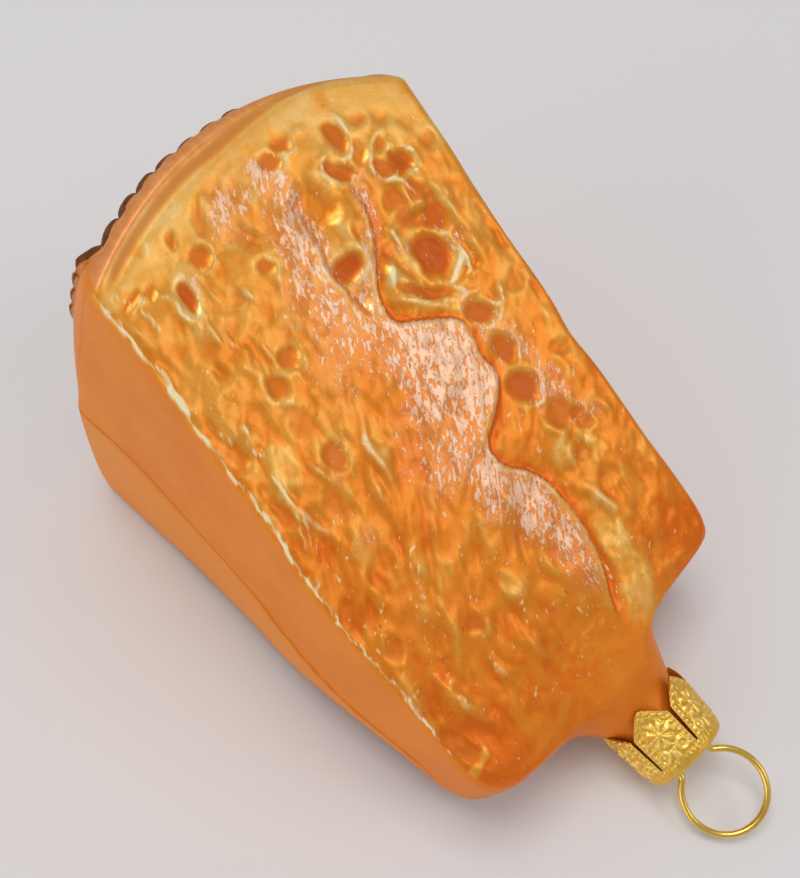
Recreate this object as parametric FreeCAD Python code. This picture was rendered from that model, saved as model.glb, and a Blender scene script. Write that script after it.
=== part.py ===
# Hanging ornament in the form of a wedge of hard cheese: a mould-blown glass body with two rough
# cut faces, a bulging rind and a neck, a stamped gilt cap with pointed petals over the neck, and a
# sprung wire loop through the cap. All lengths are in millimetres.
#
# The body is worked out in the mould's own frame: +x runs from the tip towards the rind, z = 0 is
# the parting plane with the neck's axis on it, the upper cut face is on +z and the seam runs round
# the sides at z = 0. It is then turned to lie as it rests: on the rind's lower edge and the cap's
# rim, with the upper cut face up, the loop towards +X, and Z = 0 on the surface it lies on.
import FreeCAD, Part
import Mesh
import math
import os

# ---------------------------------------------------------------- driving dimensions
wedge_length = 57.0          # tip to the rind's border at the sides
upper_tip = 8.7              # parting plane to the upper cut face, at the tip
upper_slope = 0.395          # rise of the upper cut face per mm of length
lower_tip = 2.2              # parting plane to the lower cut face, at the tip
lower_slope = 0.350
barrel_bulge = 5.8           # bulge of the rind across the wheel's height
wheel_bulge = 3.6            # bulge of the rind through the wedge's thickness
half_height = 20.5           # half the wheel's height, cut face half width
seam_bulge = 0.9             # how far the sides swell out to the parting plane
border_upper = 1.3           # rounding of the rind's border at the upper cut face
border_side = 2.4            # rounding of the rind's border at the smooth sides and below
groove_depth = 0.45          # groove that parts the upper cut face from the rind's border
groove_width = 0.7
bead_height = 0.75           # raised oblong beads in rows over the rind
bead_rows = 11               # rows across the wheel's height
bead_cols = 6                # beads in a row, through the thickness
relief = 0.55                # depth of the crumbly relief on the cut faces
shelf_rise = 0.9             # raised shelf that runs down the upper cut face to the neck

neck_y = -2.6                # the neck sits a little off the wedge's middle
neck_end = -15.75            # end face of the neck
neck_bore_r = 3.05           # open bore in the neck's end, room for the wire's legs
neck_bore_depth = 9.0

cap_r_crown = 5.15
cap_r_tip = 5.85
cap_thick = 0.3
cap_crown_x = -16.1          # outer face of the crown
cap_length = 8.25            # crown face to petal tips
petals = 6
petal_turn = 9.0             # turn of the petals from the loop's plane, degrees
petal_shoulder = 5.95        # crown face to where the petals start to narrow
slit_end = 1.5               # crown face to the foot of the slits between petals
wire_hole_r = 0.58

wire_r = 0.4
loop_far_r = 4.8             # outer half of the loop
loop_far_centre = 5.5        # its centre, out from the crown
loop_near_r = 4.8            # inner half
loop_bend_r = 0.7            # bend where the wire leaves the crown
loop_leg_lat = 2.3           # each leg's distance from the axis
loop_leg_depth = 6.0
loop_roll = 21.7             # turn of the loop's plane about the neck's axis, degrees

rest_pitch = 13.195           # the parting plane's pitch as the ornament lies, degrees

# resolution of the body's faceted surface
n_across = 26                # facets across a cut face
n_deep = 9                   # facets down a side
step_long = 1.9              # facet length along the wedge
step_tip = 1.5               # facet length round the tip and the neck
n_border = 3                 # facets over the rounded border of the rind
rind_across = 33             # facets of the rind field across the height
rind_deep = 24               # and through the thickness


# ---------------------------------------------------------------- small helpers
def clamp(v, lo, hi):
    return lo if v < lo else hi if v > hi else v


def smooth(e0, e1, v):
    t = clamp((v - e0) / (e1 - e0), 0.0, 1.0)
    return t * t * (3 - 2 * t)


def hash01(i, j, k=0):
    v = math.sin(i * 127.1 + j * 311.7 + k * 74.7) * 43758.5453
    return v - math.floor(v)


def value_noise(x, y, k=0):
    i, j = math.floor(x), math.floor(y)
    fx, fy = x - i, y - j
    fx, fy = fx * fx * (3 - 2 * fx), fy * fy * (3 - 2 * fy)
    a = hash01(i, j, k) * (1 - fx) + hash01(i + 1, j, k) * fx
    b = hash01(i, j + 1, k) * (1 - fx) + hash01(i + 1, j + 1, k) * fx
    return a * (1 - fy) + b * fy


# ---------------------------------------------------------------- relief of the cut faces
def pits(x, y, pitch, k):
    """Shallow round pits on a jittered lattice."""
    i0, j0 = math.floor(x / pitch), math.floor(y / pitch)
    best = 0.0
    for i in (i0 - 1, i0, i0 + 1):
        for j in (j0 - 1, j0, j0 + 1):
            cx = (i + 0.15 + 0.7 * hash01(i, j, k)) * pitch
            cy = (j + 0.15 + 0.7 * hash01(i, j, k + 1)) * pitch
            r = pitch * (0.18 + 0.26 * hash01(i, j, k + 2))
            d = math.hypot(x - cx, y - cy) / r
            if d < 1.6:
                best = max(best, math.exp(-d * d * 1.3) * (0.5 + 0.5 * hash01(i, j, k + 3)))
    return best


# edge of the raised shelf on the upper cut face: x, y from the neck up towards the rind
shelf_stops = [(-1.3, -3.5), (7.7, -7.1), (15.9, -7.2), (21.4, -3.5), (25.4, -5.5), (29.0, -9.5),
               (34.7, -10.2), (38.5, -4.1), (44.8, -5.7), (49.5, -8.4), (57.0, -8.2)]


def shelf_edge(x):
    for (x0, y0), (x1, y1) in zip(shelf_stops, shelf_stops[1:]):
        if x <= x1 or (x1, y1) == shelf_stops[-1]:
            return y0 + (y1 - y0) * smooth(x0, x1, x)


def upper_relief(x, y):
    edge = smooth(20.4, 18.6, abs(y)) * smooth(60.0, 56.5, x - 0.4 * y * y / 20)
    tip = smooth(-1.5, 7.0, x)
    h = -relief * 1.3 * pits(x, y, 5.2, 3) * smooth(12, 34, x)
    h += relief * 0.9 * (value_noise(x / 4.5, y / 2.6, 5) - 0.5) * 2 * 0.5
    on = smooth(1.0, -1.0, shelf_edge(x) - y) * smooth(46, 40, x) * smooth(12, 4, y - 0.1 * x)
    h += shelf_rise * (on - 0.4) * smooth(0, 8, x)
    return h * edge * tip


def lower_relief(x, y):
    edge = smooth(20.4, 18.4, abs(y)) * smooth(54.0, 49.0, x)
    tip = smooth(-1.0, 8.0, x)
    h = -relief * 1.3 * pits(x + 31.0, y + 17.0, 5.6, 23)
    h += relief * 0.9 * (value_noise(x / 5.0 + 9, y / 3.2 + 4, 31) - 0.5)
    return h * edge * tip


# ---------------------------------------------------------------- stations along the body
# tip and neck: centre x, x at the +y side, x at the -y side, half widths to +y and -y,
# upper z, lower z, corner radius
tip_stations = [
    (12.0, 12.0, 12.0, 20.75, 21.00, 13.44, -6.35, 1.0),
    (8.0, 8.0, 8.0, 20.50, 21.20, 11.86, -5.10, 1.0),
    (5.0, 4.8, 5.0, 20.35, 21.30, 10.65, -4.10, 1.1),
    (3.0, 2.4, 3.0, 20.25, 21.35, 9.80, -3.50, 1.3),
    (1.6, 0.4, 1.5, 19.95, 21.20, 9.15, -3.15, 1.5),
    (0.4, -1.4, 0.3, 19.30, 20.75, 8.55, -3.00, 1.8),
    (-0.5, -2.7, -0.3, 18.05, 19.60, 8.00, -3.00, 2.0),
    (-1.1, -3.6, -0.65, 16.05, 17.50, 7.60, -3.05, 2.2),
    (-1.5, -4.0, -0.9, 13.70, 14.90, 7.25, -3.20, 2.5),
    (-1.9, -4.25, -1.2, 11.45, 12.40, 6.95, -3.40, 2.9),
    (-2.5, -4.5, -1.65, 9.15, 10.45, 6.65, -3.65, 3.4),
    (-3.3, -4.9, -2.4, 7.25, 9.35, 6.35, -3.90, 3.9),
    (-4.4, -5.5, -3.5, 5.75, 8.65, 6.00, -4.20, 4.4),
    (-5.8, -6.4, -5.0, 4.60, 8.30, 5.65, -4.40, 4.8),
    (-7.3, -7.7, -6.9, 3.45, 7.80, 5.25, -4.60, 4.9),
    (-8.8, -9.0, -8.6, 2.50, 7.20, 4.80, -4.60, 4.7),
    (-10.4, -10.5, -10.3, 1.95, 6.95, 4.45, -4.40, 4.42),
    (-12.2, -12.2, -12.2, 1.65, 6.85, 4.25, -4.25, 4.25),
    (-14.0, -14.0, -14.0, 1.60, 6.80, 4.20, -4.20, 4.2),
    (neck_end, neck_end, neck_end, 1.60, 6.80, 4.20, -4.20, 4.2),
]


def spline_row(rows, t):
    n = len(rows)
    i = int(clamp(math.floor(t), 0, n - 2))
    f = t - i
    p0, p1 = rows[max(i - 1, 0)], rows[i]
    p2, p3 = rows[i + 1], rows[min(i + 2, n - 1)]
    return [0.5 * (2 * b + (c - a) * f + (2 * a - 5 * b + 4 * c - d) * f * f
                   + (3 * b - a - 3 * c + d) * f ** 3) for a, b, c, d in zip(p0, p1, p2, p3)]


def side_left(x):
    """Half height of the cut face to +y; the sides wander a little, as a broken edge does."""
    return half_height + 0.8 * math.exp(-((x - 22) / 9) ** 2) - 0.3 * math.exp(-((x - 50) / 6) ** 2)


def side_right(x):
    return (half_height + 0.45 + 0.28 * smooth(44, 50, x) - 0.45 * math.exp(-((x - 26.5) / 3.2) ** 2)
            + 0.35 * smooth(14, 4, x) - 0.12 * math.exp(-((x - 39) / 4.0) ** 2))


def lower_z(x):
    return (-(lower_tip + lower_slope * x) - 0.5 * math.exp(-((x - 50.5) / 4.5) ** 2)
            + 0.32 * math.exp(-((x - 23) / 8.0) ** 2))


def body_stations():
    rows = []
    for k in range(n_border, 0, -1):
        rows.append([wedge_length] * 3 + [side_left(wedge_length), side_right(wedge_length),
                    upper_tip + upper_slope * wedge_length, -(lower_tip + lower_slope * wedge_length),
                    1.0, math.pi / 2 * k / n_border])
    count = int(round((wedge_length - 12.0) / step_long))
    for k in range(count):
        x = wedge_length - (wedge_length - 12.0) * k / count
        rows.append([x, x, x, side_left(x), side_right(x), upper_tip + upper_slope * x,
                     lower_z(x), 1.0, 0.0])
    fine = [spline_row(tip_stations, (len(tip_stations) - 1) * k / 600.0) for k in range(601)]
    run = [0.0]
    for a, b in zip(fine, fine[1:]):
        run.append(run[-1] + math.hypot(b[1] - a[1], b[3] - a[3]))
    count = int(round(run[-1] / step_tip))
    j = 0
    for k in range(count + 1):
        want = run[-1] * k / count
        while j < 599 and run[j + 1] < want:
            j += 1
        f = clamp((want - run[j]) / max(run[j + 1] - run[j], 1e-9), 0, 1)
        rows.append([a + (b - a) * f for a, b in zip(fine[j], fine[j + 1])] + [0.0])
    return rows


def place(row, sy, sz):
    """Point of the body's surface for one station and a point (sy, sz) of a unit square's border."""
    xc, xl, xr, hl, hr, zt, zb, r, th = row
    h, yc, a, zc = (hl + hr) / 2, (hl - hr) / 2, (zt - zb) / 2, (zt + zb) / 2
    curl, reach = 1 - math.cos(th), math.sin(th)
    r = min(r + 0.6 * curl, h, a)
    py, pz = sy * h, sz * a
    qy, qz = clamp(py, -h + r, h - r), clamp(pz, -a + r, a - r)
    dy, dz = py - qy, pz - qz
    n = math.hypot(dy, dz)
    if n > 0:
        py, pz = qy + r * dy / n, qz + r * dz / n
    # the border of the rind is rounded more at the sides than at the upper face
    top = smooth(0.75, 1.0, pz / a) * smooth(1.02, 0.9, abs(py) / h)
    band = border_side + (border_upper - border_side) * top
    y0 = py * (h - border_side * curl) / h
    z0 = pz * (a - band * curl) / a
    y, z = yc + y0, zc + z0
    body = clamp(xc / 14, 0, 1)
    up, dn = clamp(z / zt, 0, 1), clamp(z / zb, 0, 1)
    side = (abs(py) / h) ** 6
    swell = seam_bulge * (1 - up) if z >= 0 else seam_bulge * (1 - 0.5 * dn)
    y += math.copysign(1, py) * side * swell * body
    yy, ze = clamp(y / 20.6, -1, 1), clamp(z0 / a, -1, 1)
    if y > yc:
        x = xc + (xl - xc) * clamp((y - yc) / h, 0, 1)
    else:
        x = xc + (xr - xc) * clamp((yc - y) / h, 0, 1)
    if xc > 0:
        part = xc / wedge_length
        bulge = (barrel_bulge * (1 - yy * yy) * part ** 1.5
                 + wheel_bulge * (1 - abs(ze) ** 2.2) * (1 - 0.1 * yy ** 4) * part ** 3)
        flat = math.tan(math.radians(rest_pitch))
        f = (z - zb) / (zt - zb)
        x += bulge
        z = (zb - flat * bulge) * (1 - f) + (zt + upper_slope * bulge) * f
    return [x + band * reach, y, z]


def tip_lift(row, x, y, z):
    """The upper face runs straight on to the neck in the middle of the tip."""
    zt, zb = row[5], row[6]
    gain = clamp(upper_tip + upper_slope * x - zt, 0.0, 1.3) * smooth(-8.3, -4.5, x) * smooth(9.0, 5.0, x)
    up = clamp((z - 0.5 * (zt + zb)) / (0.5 * (zt - zb)), 0.0, 1.0)
    return gain * up * smooth(14.0, 5.0, abs(y + 1.5))


def square_loop(na, nd):
    pts = [(1 - 2.0 * i / na, 1.0) for i in range(na)]
    pts += [(-1.0, 1 - 2.0 * i / nd) for i in range(nd)]
    pts += [(-1 + 2.0 * i / na, -1.0) for i in range(na)]
    pts += [(1.0, -1 + 2.0 * i / nd) for i in range(nd)]
    return pts


def body_rings():
    loop = square_loop(n_across, n_deep)
    rings = []
    for row in body_stations():
        ring = []
        for sy, sz in loop:
            x, y, z = place(row, sy, sz)
            z += tip_lift(row, x, y, z)
            if row[0] > -3.0 and row[8] < 0.5:
                if sz > 0.999:
                    z += upper_relief(x, y)
                    if row[0] > 50:
                        z -= groove_depth * math.exp(-((wedge_length - row[0] - 0.6) / groove_width) ** 2)
                elif sz < -0.999:
                    z -= lower_relief(x, y)
            ring.append([x, y, z])
        rings.append(ring)
    return rings


def rind_field(ring):
    """Grid over the rind inside the last ring, with rows of oblong beads."""
    na, nd = n_across, n_deep

    def along(points, t):
        f = t * (len(points) - 1)
        i = min(int(f), len(points) - 2)
        f -= i
        return [a + (b - a) * f for a, b in zip(points[i], points[i + 1])]

    top = ring[:na + 1]
    right = ring[na:na + nd + 1]
    bottom = ring[na + nd:2 * na + nd + 1][::-1]
    left = (ring[2 * na + nd:] + ring[:1])[::-1]
    grid = []
    for i in range(rind_deep + 1):
        t = 0.03 + 0.94 * i / rind_deep
        line = []
        for j in range(rind_across + 1):
            s = 0.03 + 0.94 * j / rind_across
            T, B, Lf, R = along(top, s), along(bottom, s), along(left, t), along(right, t)
            p = [(1 - t) * T[k] + t * B[k] + (1 - s) * Lf[k] + s * R[k]
                 - (1 - s) * (1 - t) * top[0][k] - s * (1 - t) * top[-1][k]
                 - (1 - s) * t * bottom[0][k] - s * t * bottom[-1][k] for k in range(3)]
            p[0] += bead_field(s, t)
            line.append(p)
        grid.append(line)
    return grid


def bead_field(s, t):
    """Height of the rows of oblong beads; s runs across the height, t down through the thickness."""
    inner = (smooth(0.01, 0.05, s) * smooth(0.99, 0.95, s)
             * smooth(0.005, 0.03, t) * smooth(0.97, 0.91, t))
    inner *= 1 - smooth(0.62, 0.68, s) * smooth(0.14, 0.10, t)
    row = bead_rows * s
    wy = abs(math.sin(math.pi * row)) ** 0.7
    wz = abs(math.sin(math.pi * (bead_cols * t + 0.5 * (int(row) % 2)))) ** 0.45
    return bead_height * wy * wz * inner


def rest(p):
    """From the mould's frame to the lying pose."""
    c, s = math.cos(math.radians(rest_pitch)), math.sin(math.radians(rest_pitch))
    x, y, z = p
    return [-(x * c - z * s), -y, z * c + x * s]


def skin(rings, tris):
    """Bands between one ring and the next, each quad split along its shorter diagonal."""
    n = len(rings[0])
    for r0, r1 in zip(rings, rings[1:]):
        for i in range(n):
            k = (i + 1) % n
            split(r0[i], r0[k], r1[k], r1[i], tris)


def split(a, b, c, d, tris):
    if sum((m - n) ** 2 for m, n in zip(a, c)) <= sum((m - n) ** 2 for m, n in zip(b, d)):
        tris.extend([(a, b, c), (a, c, d)])
    else:
        tris.extend([(a, b, d), (b, c, d)])


def rind(ring, tris):
    grid = rind_field(ring)
    ga, gd = rind_across, rind_deep
    for i in range(gd):
        for j in range(ga):
            split(grid[i][j], grid[i + 1][j], grid[i + 1][j + 1], grid[i][j + 1], tris)
    inner = [grid[0][j] for j in range(ga)] + [grid[i][ga] for i in range(gd)]
    inner += [grid[gd][ga - j] for j in range(ga)] + [grid[gd - i][0] for i in range(gd)]
    stitch(ring, inner, tris)


def neck_bore(ring, tris):
    """End face of the neck and its blind bore."""
    n = len(ring)
    mid_y = neck_y

    def circle(x, r):
        out = []
        for p in ring:
            a = math.atan2(p[2], p[1] - mid_y)
            out.append([x, mid_y + r * math.cos(a), r * math.sin(a)])
        return out

    loops = [ring, circle(neck_end, neck_bore_r), circle(neck_end + neck_bore_depth - 1.5, neck_bore_r),
             circle(neck_end + neck_bore_depth - 0.4, neck_bore_r * 0.7)]
    for a, b in zip(loops, loops[1:]):
        for i in range(n):
            k = (i + 1) % n
            tris.extend([(a[i], a[k], b[k]), (a[i], b[k], b[i])])
    hub = [neck_end + neck_bore_depth, mid_y, 0.0]
    for i in range(n):
        tris.append((loops[-1][i], loops[-1][(i + 1) % n], hub))


def stitch(outer, inner, tris):
    """Triangles between two closed loops whose four sides match."""
    na, nd, ga, gd = n_across, n_deep, rind_across, rind_deep
    cuts_o = [0, na, na + nd, 2 * na + nd, 2 * (na + nd)]
    cuts_i = [0, ga, ga + gd, 2 * ga + gd, 2 * (ga + gd)]
    for s in range(4):
        o = [outer[k % len(outer)] for k in range(cuts_o[s], cuts_o[s + 1] + 1)]
        q = [inner[k % len(inner)] for k in range(cuts_i[s], cuts_i[s + 1] + 1)]
        i = j = 0
        while i < len(o) - 1 or j < len(q) - 1:
            fo = (i + 1.0) / (len(o) - 1) if i < len(o) - 1 else 9
            fq = (j + 1.0) / (len(q) - 1) if j < len(q) - 1 else 9
            if fo <= fq:
                tris.append((o[i], q[j], o[i + 1]))
                i += 1
            else:
                tris.append((o[i], q[j], q[j + 1]))
                j += 1


def body_solid():
    tris = []
    rings = body_rings()
    skin(rings, tris)
    rind(rings[0], tris)
    neck_bore(rings[-1], tris)
    facets = []
    for t in tris:
        pts = [tuple(round(v, 4) for v in rest(p)) for p in t]
        if len(set(pts)) == 3:
            facets.append(pts)
    mesh = Mesh.Mesh([p for f in facets for p in f])
    mesh.harmonizeNormals()
    print("body facets", mesh.CountFacets, "closed", mesh.isSolid(), "self-crossing", mesh.hasSelfIntersections())
    shape = Part.Shape()
    shape.makeShapeFromMesh(mesh.Topology, 0.001)
    solid = Part.makeSolid(shape)
    if solid.Volume < 0:
        solid.reverse()
    return solid


# ---------------------------------------------------------------- cap and loop, in the mould's frame
V = FreeCAD.Vector


def cap_solid():
    """Stamped cap: crown disc, rounded shoulder and a flared skirt cut into pointed petals.
    Built about +z with the crown's outer face at z = 0 and the petals towards -z."""
    t = cap_thick
    flare = (cap_r_tip - cap_r_crown) / cap_length
    k = 0.5
    # profile in the xz plane, revolved about z
    a = V(0, 0, 0)
    b = V(cap_r_crown - k, 0, 0)
    mid = V(cap_r_crown - k + k * math.sin(math.pi / 4), 0, -k + k * math.cos(math.pi / 4))
    c = V(cap_r_crown, 0, -k)
    d = V(cap_r_tip, 0, -cap_length)
    e = V(cap_r_tip - t, 0, -cap_length)
    f = V(cap_r_crown - t + flare * t, 0, -t)
    g = V(0, 0, -t)
    prof = Part.Wire([Part.LineSegment(a, b).toShape(), Part.Arc(b, mid, c).toShape(),
                      Part.LineSegment(c, d).toShape(), Part.LineSegment(d, e).toShape(),
                      Part.LineSegment(e, f).toShape(), Part.LineSegment(f, g).toShape(),
                      Part.LineSegment(g, a).toShape()])
    shell = Part.Face(prof).revolve(V(0, 0, 0), V(0, 0, 1), 360)
    step = 360.0 / petals
    for i in range(petals):
        # slit between two petals: narrow at its foot, opening into the gap between the points
        ang = step * (i + 0.5) + petal_turn
        half = cap_r_tip * math.tan(math.radians(step / 2)) * 1.06
        pts = [V(3.5, -0.10, -slit_end), V(3.5, 0.10, -slit_end), V(3.5, 0.22, -petal_shoulder),
               V(3.5, half, -cap_length - 0.01), V(3.5, half, -cap_length - 1),
               V(3.5, -half, -cap_length - 1), V(3.5, -half, -cap_length - 0.01),
               V(3.5, -0.22, -petal_shoulder)]
        cut = Part.Face(Part.makePolygon(pts + [pts[0]])).extrude(V(4, 0, 0))
        cut.rotate(V(0, 0, 0), V(0, 0, 1), ang)
        shell = shell.cut(cut)
    for s in (1, -1):
        hole = Part.makeCylinder(wire_hole_r, 3, V(0, s * loop_leg_lat, -1.5), V(0, 0, 1))
        shell = shell.cut(hole)
    return shell


def loop_solid():
    """Wire loop in the yz plane, z outward from the crown, legs reaching in through the crown."""
    # angle at which the inner half meets the bend, found by stepping
    best = None
    for k in range(200, 1300):
        a = math.radians(k / 10.0)
        lat = -(loop_near_r - loop_far_r) + loop_near_r * math.cos(a)
        out = lat - loop_bend_r * (1 - math.cos(a))
        if best is None or abs(out - loop_leg_lat) < best[0]:
            best = (abs(out - loop_leg_lat), a)
    a = best[1]
    c0 = loop_far_centre
    near = lambda t: (-(loop_near_r - loop_far_r) + loop_near_r * math.cos(t), c0 - loop_near_r * math.sin(t))
    meet = near(a)
    # the bend's centre lies on the far side of the wire
    cx, cz = meet[0] + loop_bend_r * math.cos(a), meet[1] - loop_bend_r * math.sin(a)
    bend = lambda t: (cx - loop_bend_r * math.cos(t), cz + loop_bend_r * math.sin(t))
    foot = bend(0.0)

    def v(p, s=1):
        return V(0, s * p[0], p[1])

    leg_end = (foot[0], -loop_leg_depth)
    edges = [Part.LineSegment(v(leg_end), v(foot)).toShape(),
             Part.Arc(v(foot), v(bend(a / 2)), v(meet)).toShape(),
             Part.Arc(v(meet), v(near(a / 2)), v(near(0.0))).toShape(),
             Part.Arc(v(near(0.0)), V(0, 0, c0 + loop_far_r), v(near(0.0), -1)).toShape(),
             Part.Arc(v(near(0.0), -1), v(near(a / 2), -1), v(meet, -1)).toShape(),
             Part.Arc(v(meet, -1), v(bend(a / 2), -1), v(foot, -1)).toShape(),
             Part.LineSegment(v(foot, -1), v(leg_end, -1)).toShape()]
    path = Part.Wire(edges)
    ring = Part.Wire([Part.Circle(v(leg_end), V(0, 0, 1), wire_r).toShape()])
    body = path.makePipeShell([ring], True, True)
    print("loop wire length %.2f, volume %.3f, section x length %.3f" %
          (path.Length, body.Volume, path.Length * math.pi * wire_r ** 2))
    return body


def to_neck(shape, roll):
    """Turns a shape built about +z on to the neck: its +z goes along -x, out of the neck."""
    s = shape.copy()
    s.rotate(V(0, 0, 0), V(0, 0, 1), roll)
    # +z -> -x, +y stays
    s.rotate(V(0, 0, 0), V(0, 1, 0), -90)
    s.translate(V(cap_crown_x, neck_y, 0))
    return s


def rest_shape(shape):
    """The same turn to the lying pose as rest(), for whole shapes."""
    s = shape.copy()
    s.rotate(V(0, 0, 0), V(0, 1, 0), -rest_pitch)
    s.rotate(V(0, 0, 0), V(0, 0, 1), 180)
    return s


# ---------------------------------------------------------------- build
os.makedirs("parts", exist_ok=True)
body = body_solid()
cap = rest_shape(to_neck(cap_solid(), loop_roll))
loop = rest_shape(to_neck(loop_solid(), loop_roll))

lows = [body.BoundBox.ZMin, cap.BoundBox.ZMin, loop.BoundBox.ZMin]
print("lowest: body %.3f cap %.3f loop %.3f" % tuple(lows))
box = body.BoundBox
for other in (cap, loop):
    box.add(other.BoundBox)
move = V(-(box.XMin + box.XMax) / 2, -(box.YMin + box.YMax) / 2, -box.ZMin)
print("shift to the resting frame %.4f %.4f %.4f" % (move.x, move.y, move.z))
for name, shape in (("glass_body", body), ("cap", cap), ("hanger_loop", loop)):
    shape.translate(move)
    b = shape.BoundBox
    print("%-12s valid %s solids %d volume %.2f  box %.2f..%.2f  %.2f..%.2f  %.2f..%.2f" % (
        name, shape.isValid(), len(shape.Solids), shape.Volume, b.XMin, b.XMax, b.YMin, b.YMax, b.ZMin, b.ZMax))
    shape.exportStep("parts/%s.step" % name)
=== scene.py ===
import math

import bpy
import numpy as np
from mathutils import Matrix, Vector

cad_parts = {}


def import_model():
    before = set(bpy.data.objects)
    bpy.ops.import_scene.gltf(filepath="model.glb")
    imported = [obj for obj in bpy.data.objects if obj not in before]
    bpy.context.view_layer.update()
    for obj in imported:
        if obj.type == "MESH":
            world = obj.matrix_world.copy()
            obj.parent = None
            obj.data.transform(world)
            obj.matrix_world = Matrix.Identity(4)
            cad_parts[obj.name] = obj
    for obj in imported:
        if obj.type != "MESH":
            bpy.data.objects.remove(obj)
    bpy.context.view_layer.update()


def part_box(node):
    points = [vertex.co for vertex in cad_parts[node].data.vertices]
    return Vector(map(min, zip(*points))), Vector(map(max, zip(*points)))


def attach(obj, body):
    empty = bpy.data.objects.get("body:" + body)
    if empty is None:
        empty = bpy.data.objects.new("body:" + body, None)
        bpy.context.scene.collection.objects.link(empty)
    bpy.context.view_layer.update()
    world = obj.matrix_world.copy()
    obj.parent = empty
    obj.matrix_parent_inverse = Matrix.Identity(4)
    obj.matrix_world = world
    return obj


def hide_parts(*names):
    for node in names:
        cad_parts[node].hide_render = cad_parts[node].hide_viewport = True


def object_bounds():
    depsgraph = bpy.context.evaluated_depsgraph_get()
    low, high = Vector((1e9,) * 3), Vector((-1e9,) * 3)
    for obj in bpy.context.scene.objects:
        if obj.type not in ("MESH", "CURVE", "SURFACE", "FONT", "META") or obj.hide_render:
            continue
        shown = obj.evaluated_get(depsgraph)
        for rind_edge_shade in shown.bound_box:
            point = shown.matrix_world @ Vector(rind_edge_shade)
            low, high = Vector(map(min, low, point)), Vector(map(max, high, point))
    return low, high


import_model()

# A hanging ornament of blown glass in the form of a wedge of hard cheese. The glass is silvered
# inside and lacquered orange outside; a stamped gilt cap with petals and a wire loop sit on its neck.
# Lengths are worked out in millimetres in the mould's own frame (+x from the tip to the rind, z = 0
# the parting plane, +z the upper cut face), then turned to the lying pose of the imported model.
PITCH = math.radians(13.195)
CP, SP = math.cos(PITCH), math.sin(PITCH)
NECK_Y, CROWN_X = -2.6, -16.1
ROLL = math.radians(21.7)


def turned(p):
    """Mould frame to the lying pose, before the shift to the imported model's origin."""
    p = np.asarray(p, float)
    x, y, z = p[..., 0], p[..., 1], p[..., 2]
    return np.stack([-(x * CP - z * SP), -y, z * CP + x * SP], -1)


def on_neck(p):
    """From the neck's own frame (+z out of the neck, 0 on the crown's outer face) to the mould's."""
    p = np.asarray(p, float)
    x, y, z = p[..., 0], p[..., 1], p[..., 2]
    c, s = math.cos(ROLL), math.sin(ROLL)
    x, y = x * c - y * s, x * s + y * c
    return np.stack([CROWN_X - z, NECK_Y + y, x], -1)


# ------------------------------------------------------------------ small numeric helpers
def sm(e0, e1, v):
    t = np.clip((v - e0) / (e1 - e0), 0.0, 1.0)
    return t * t * (3 - 2 * t)


def hash01(i, j, k=0):
    v = np.sin(i * 127.1 + j * 311.7 + k * 74.7) * 43758.5453
    return v - np.floor(v)


def vnoise(x, y, k=0):
    i, j = np.floor(x), np.floor(y)
    fx, fy = x - i, y - j
    fx, fy = fx ** 3 * (fx * (fx * 6 - 15) + 10), fy ** 3 * (fy * (fy * 6 - 15) + 10)
    a = hash01(i, j, k) * (1 - fx) + hash01(i + 1, j, k) * fx
    b = hash01(i, j + 1, k) * (1 - fx) + hash01(i + 1, j + 1, k) * fx
    return a * (1 - fy) + b * fy


def fbm(x, y, k=0, octaves=4, gain=0.5):
    total, amp, norm = 0.0, 1.0, 0.0
    for o in range(octaves):
        c, s = math.cos(0.7 * o), math.sin(0.7 * o)
        total = total + amp * (vnoise((x * c - y * s) * 2 ** o + 17 * o, (x * s + y * c) * 2 ** o - 9 * o, k + o) - 0.5)
        norm += amp
        amp *= gain
    return 2 * total / norm


def pits(x, y, pitch, k):
    i0, j0 = np.floor(x / pitch), np.floor(y / pitch)
    best = np.zeros_like(x)
    for di in (-1, 0, 1):
        for dj in (-1, 0, 1):
            i, j = i0 + di, j0 + dj
            cx = (i + 0.15 + 0.7 * hash01(i, j, k)) * pitch
            cy = (j + 0.15 + 0.7 * hash01(i, j, k + 1)) * pitch
            r = pitch * (0.18 + 0.26 * hash01(i, j, k + 2))
            d = np.hypot(x - cx, y - cy) / r
            best = np.maximum(best, np.exp(-d * d * 1.3) * (0.5 + 0.5 * hash01(i, j, k + 3)))
    return best


def rounded(points, times=2):
    """Chaikin's corner cutting of an open line."""
    p = np.array(points, float)
    for _ in range(times):
        q = np.empty((2 * len(p), 2))
        q[0], q[-1] = p[0], p[-1]
        q[1:-1:2] = 0.75 * p[:-1] + 0.25 * p[1:]
        q[2:-1:2] = 0.25 * p[:-1] + 0.75 * p[1:]
        p = q
    return p


def from_line(x, y, points, times=2):
    """Signed distance to an open line (positive on its left, walking along it) and how far along it is, 0 to 1."""
    p = rounded(points, times)
    seg = np.hypot(*(p[1:] - p[:-1]).T)
    run = np.concatenate([[0], np.cumsum(seg)])
    n = max(int(run[-1] / 0.25), 8)
    t = np.linspace(0, run[-1], n)
    q = np.stack([np.interp(t, run, p[:, 0]), np.interp(t, run, p[:, 1])], 1)
    tan = np.gradient(q, axis=0)
    tan /= np.hypot(*tan.T)[:, None]
    best = np.full(x.shape, 1e9)
    side = np.zeros(x.shape)
    along = np.zeros(x.shape)
    for k in range(n):
        dx, dy = x - q[k, 0], y - q[k, 1]
        d = np.hypot(dx, dy)
        near = d < best
        best[near] = d[near]
        side[near] = (tan[k, 0] * dy - tan[k, 1] * dx)[near]
        along[near] = k / (n - 1)
    return np.sign(side) * best, best, along


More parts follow.
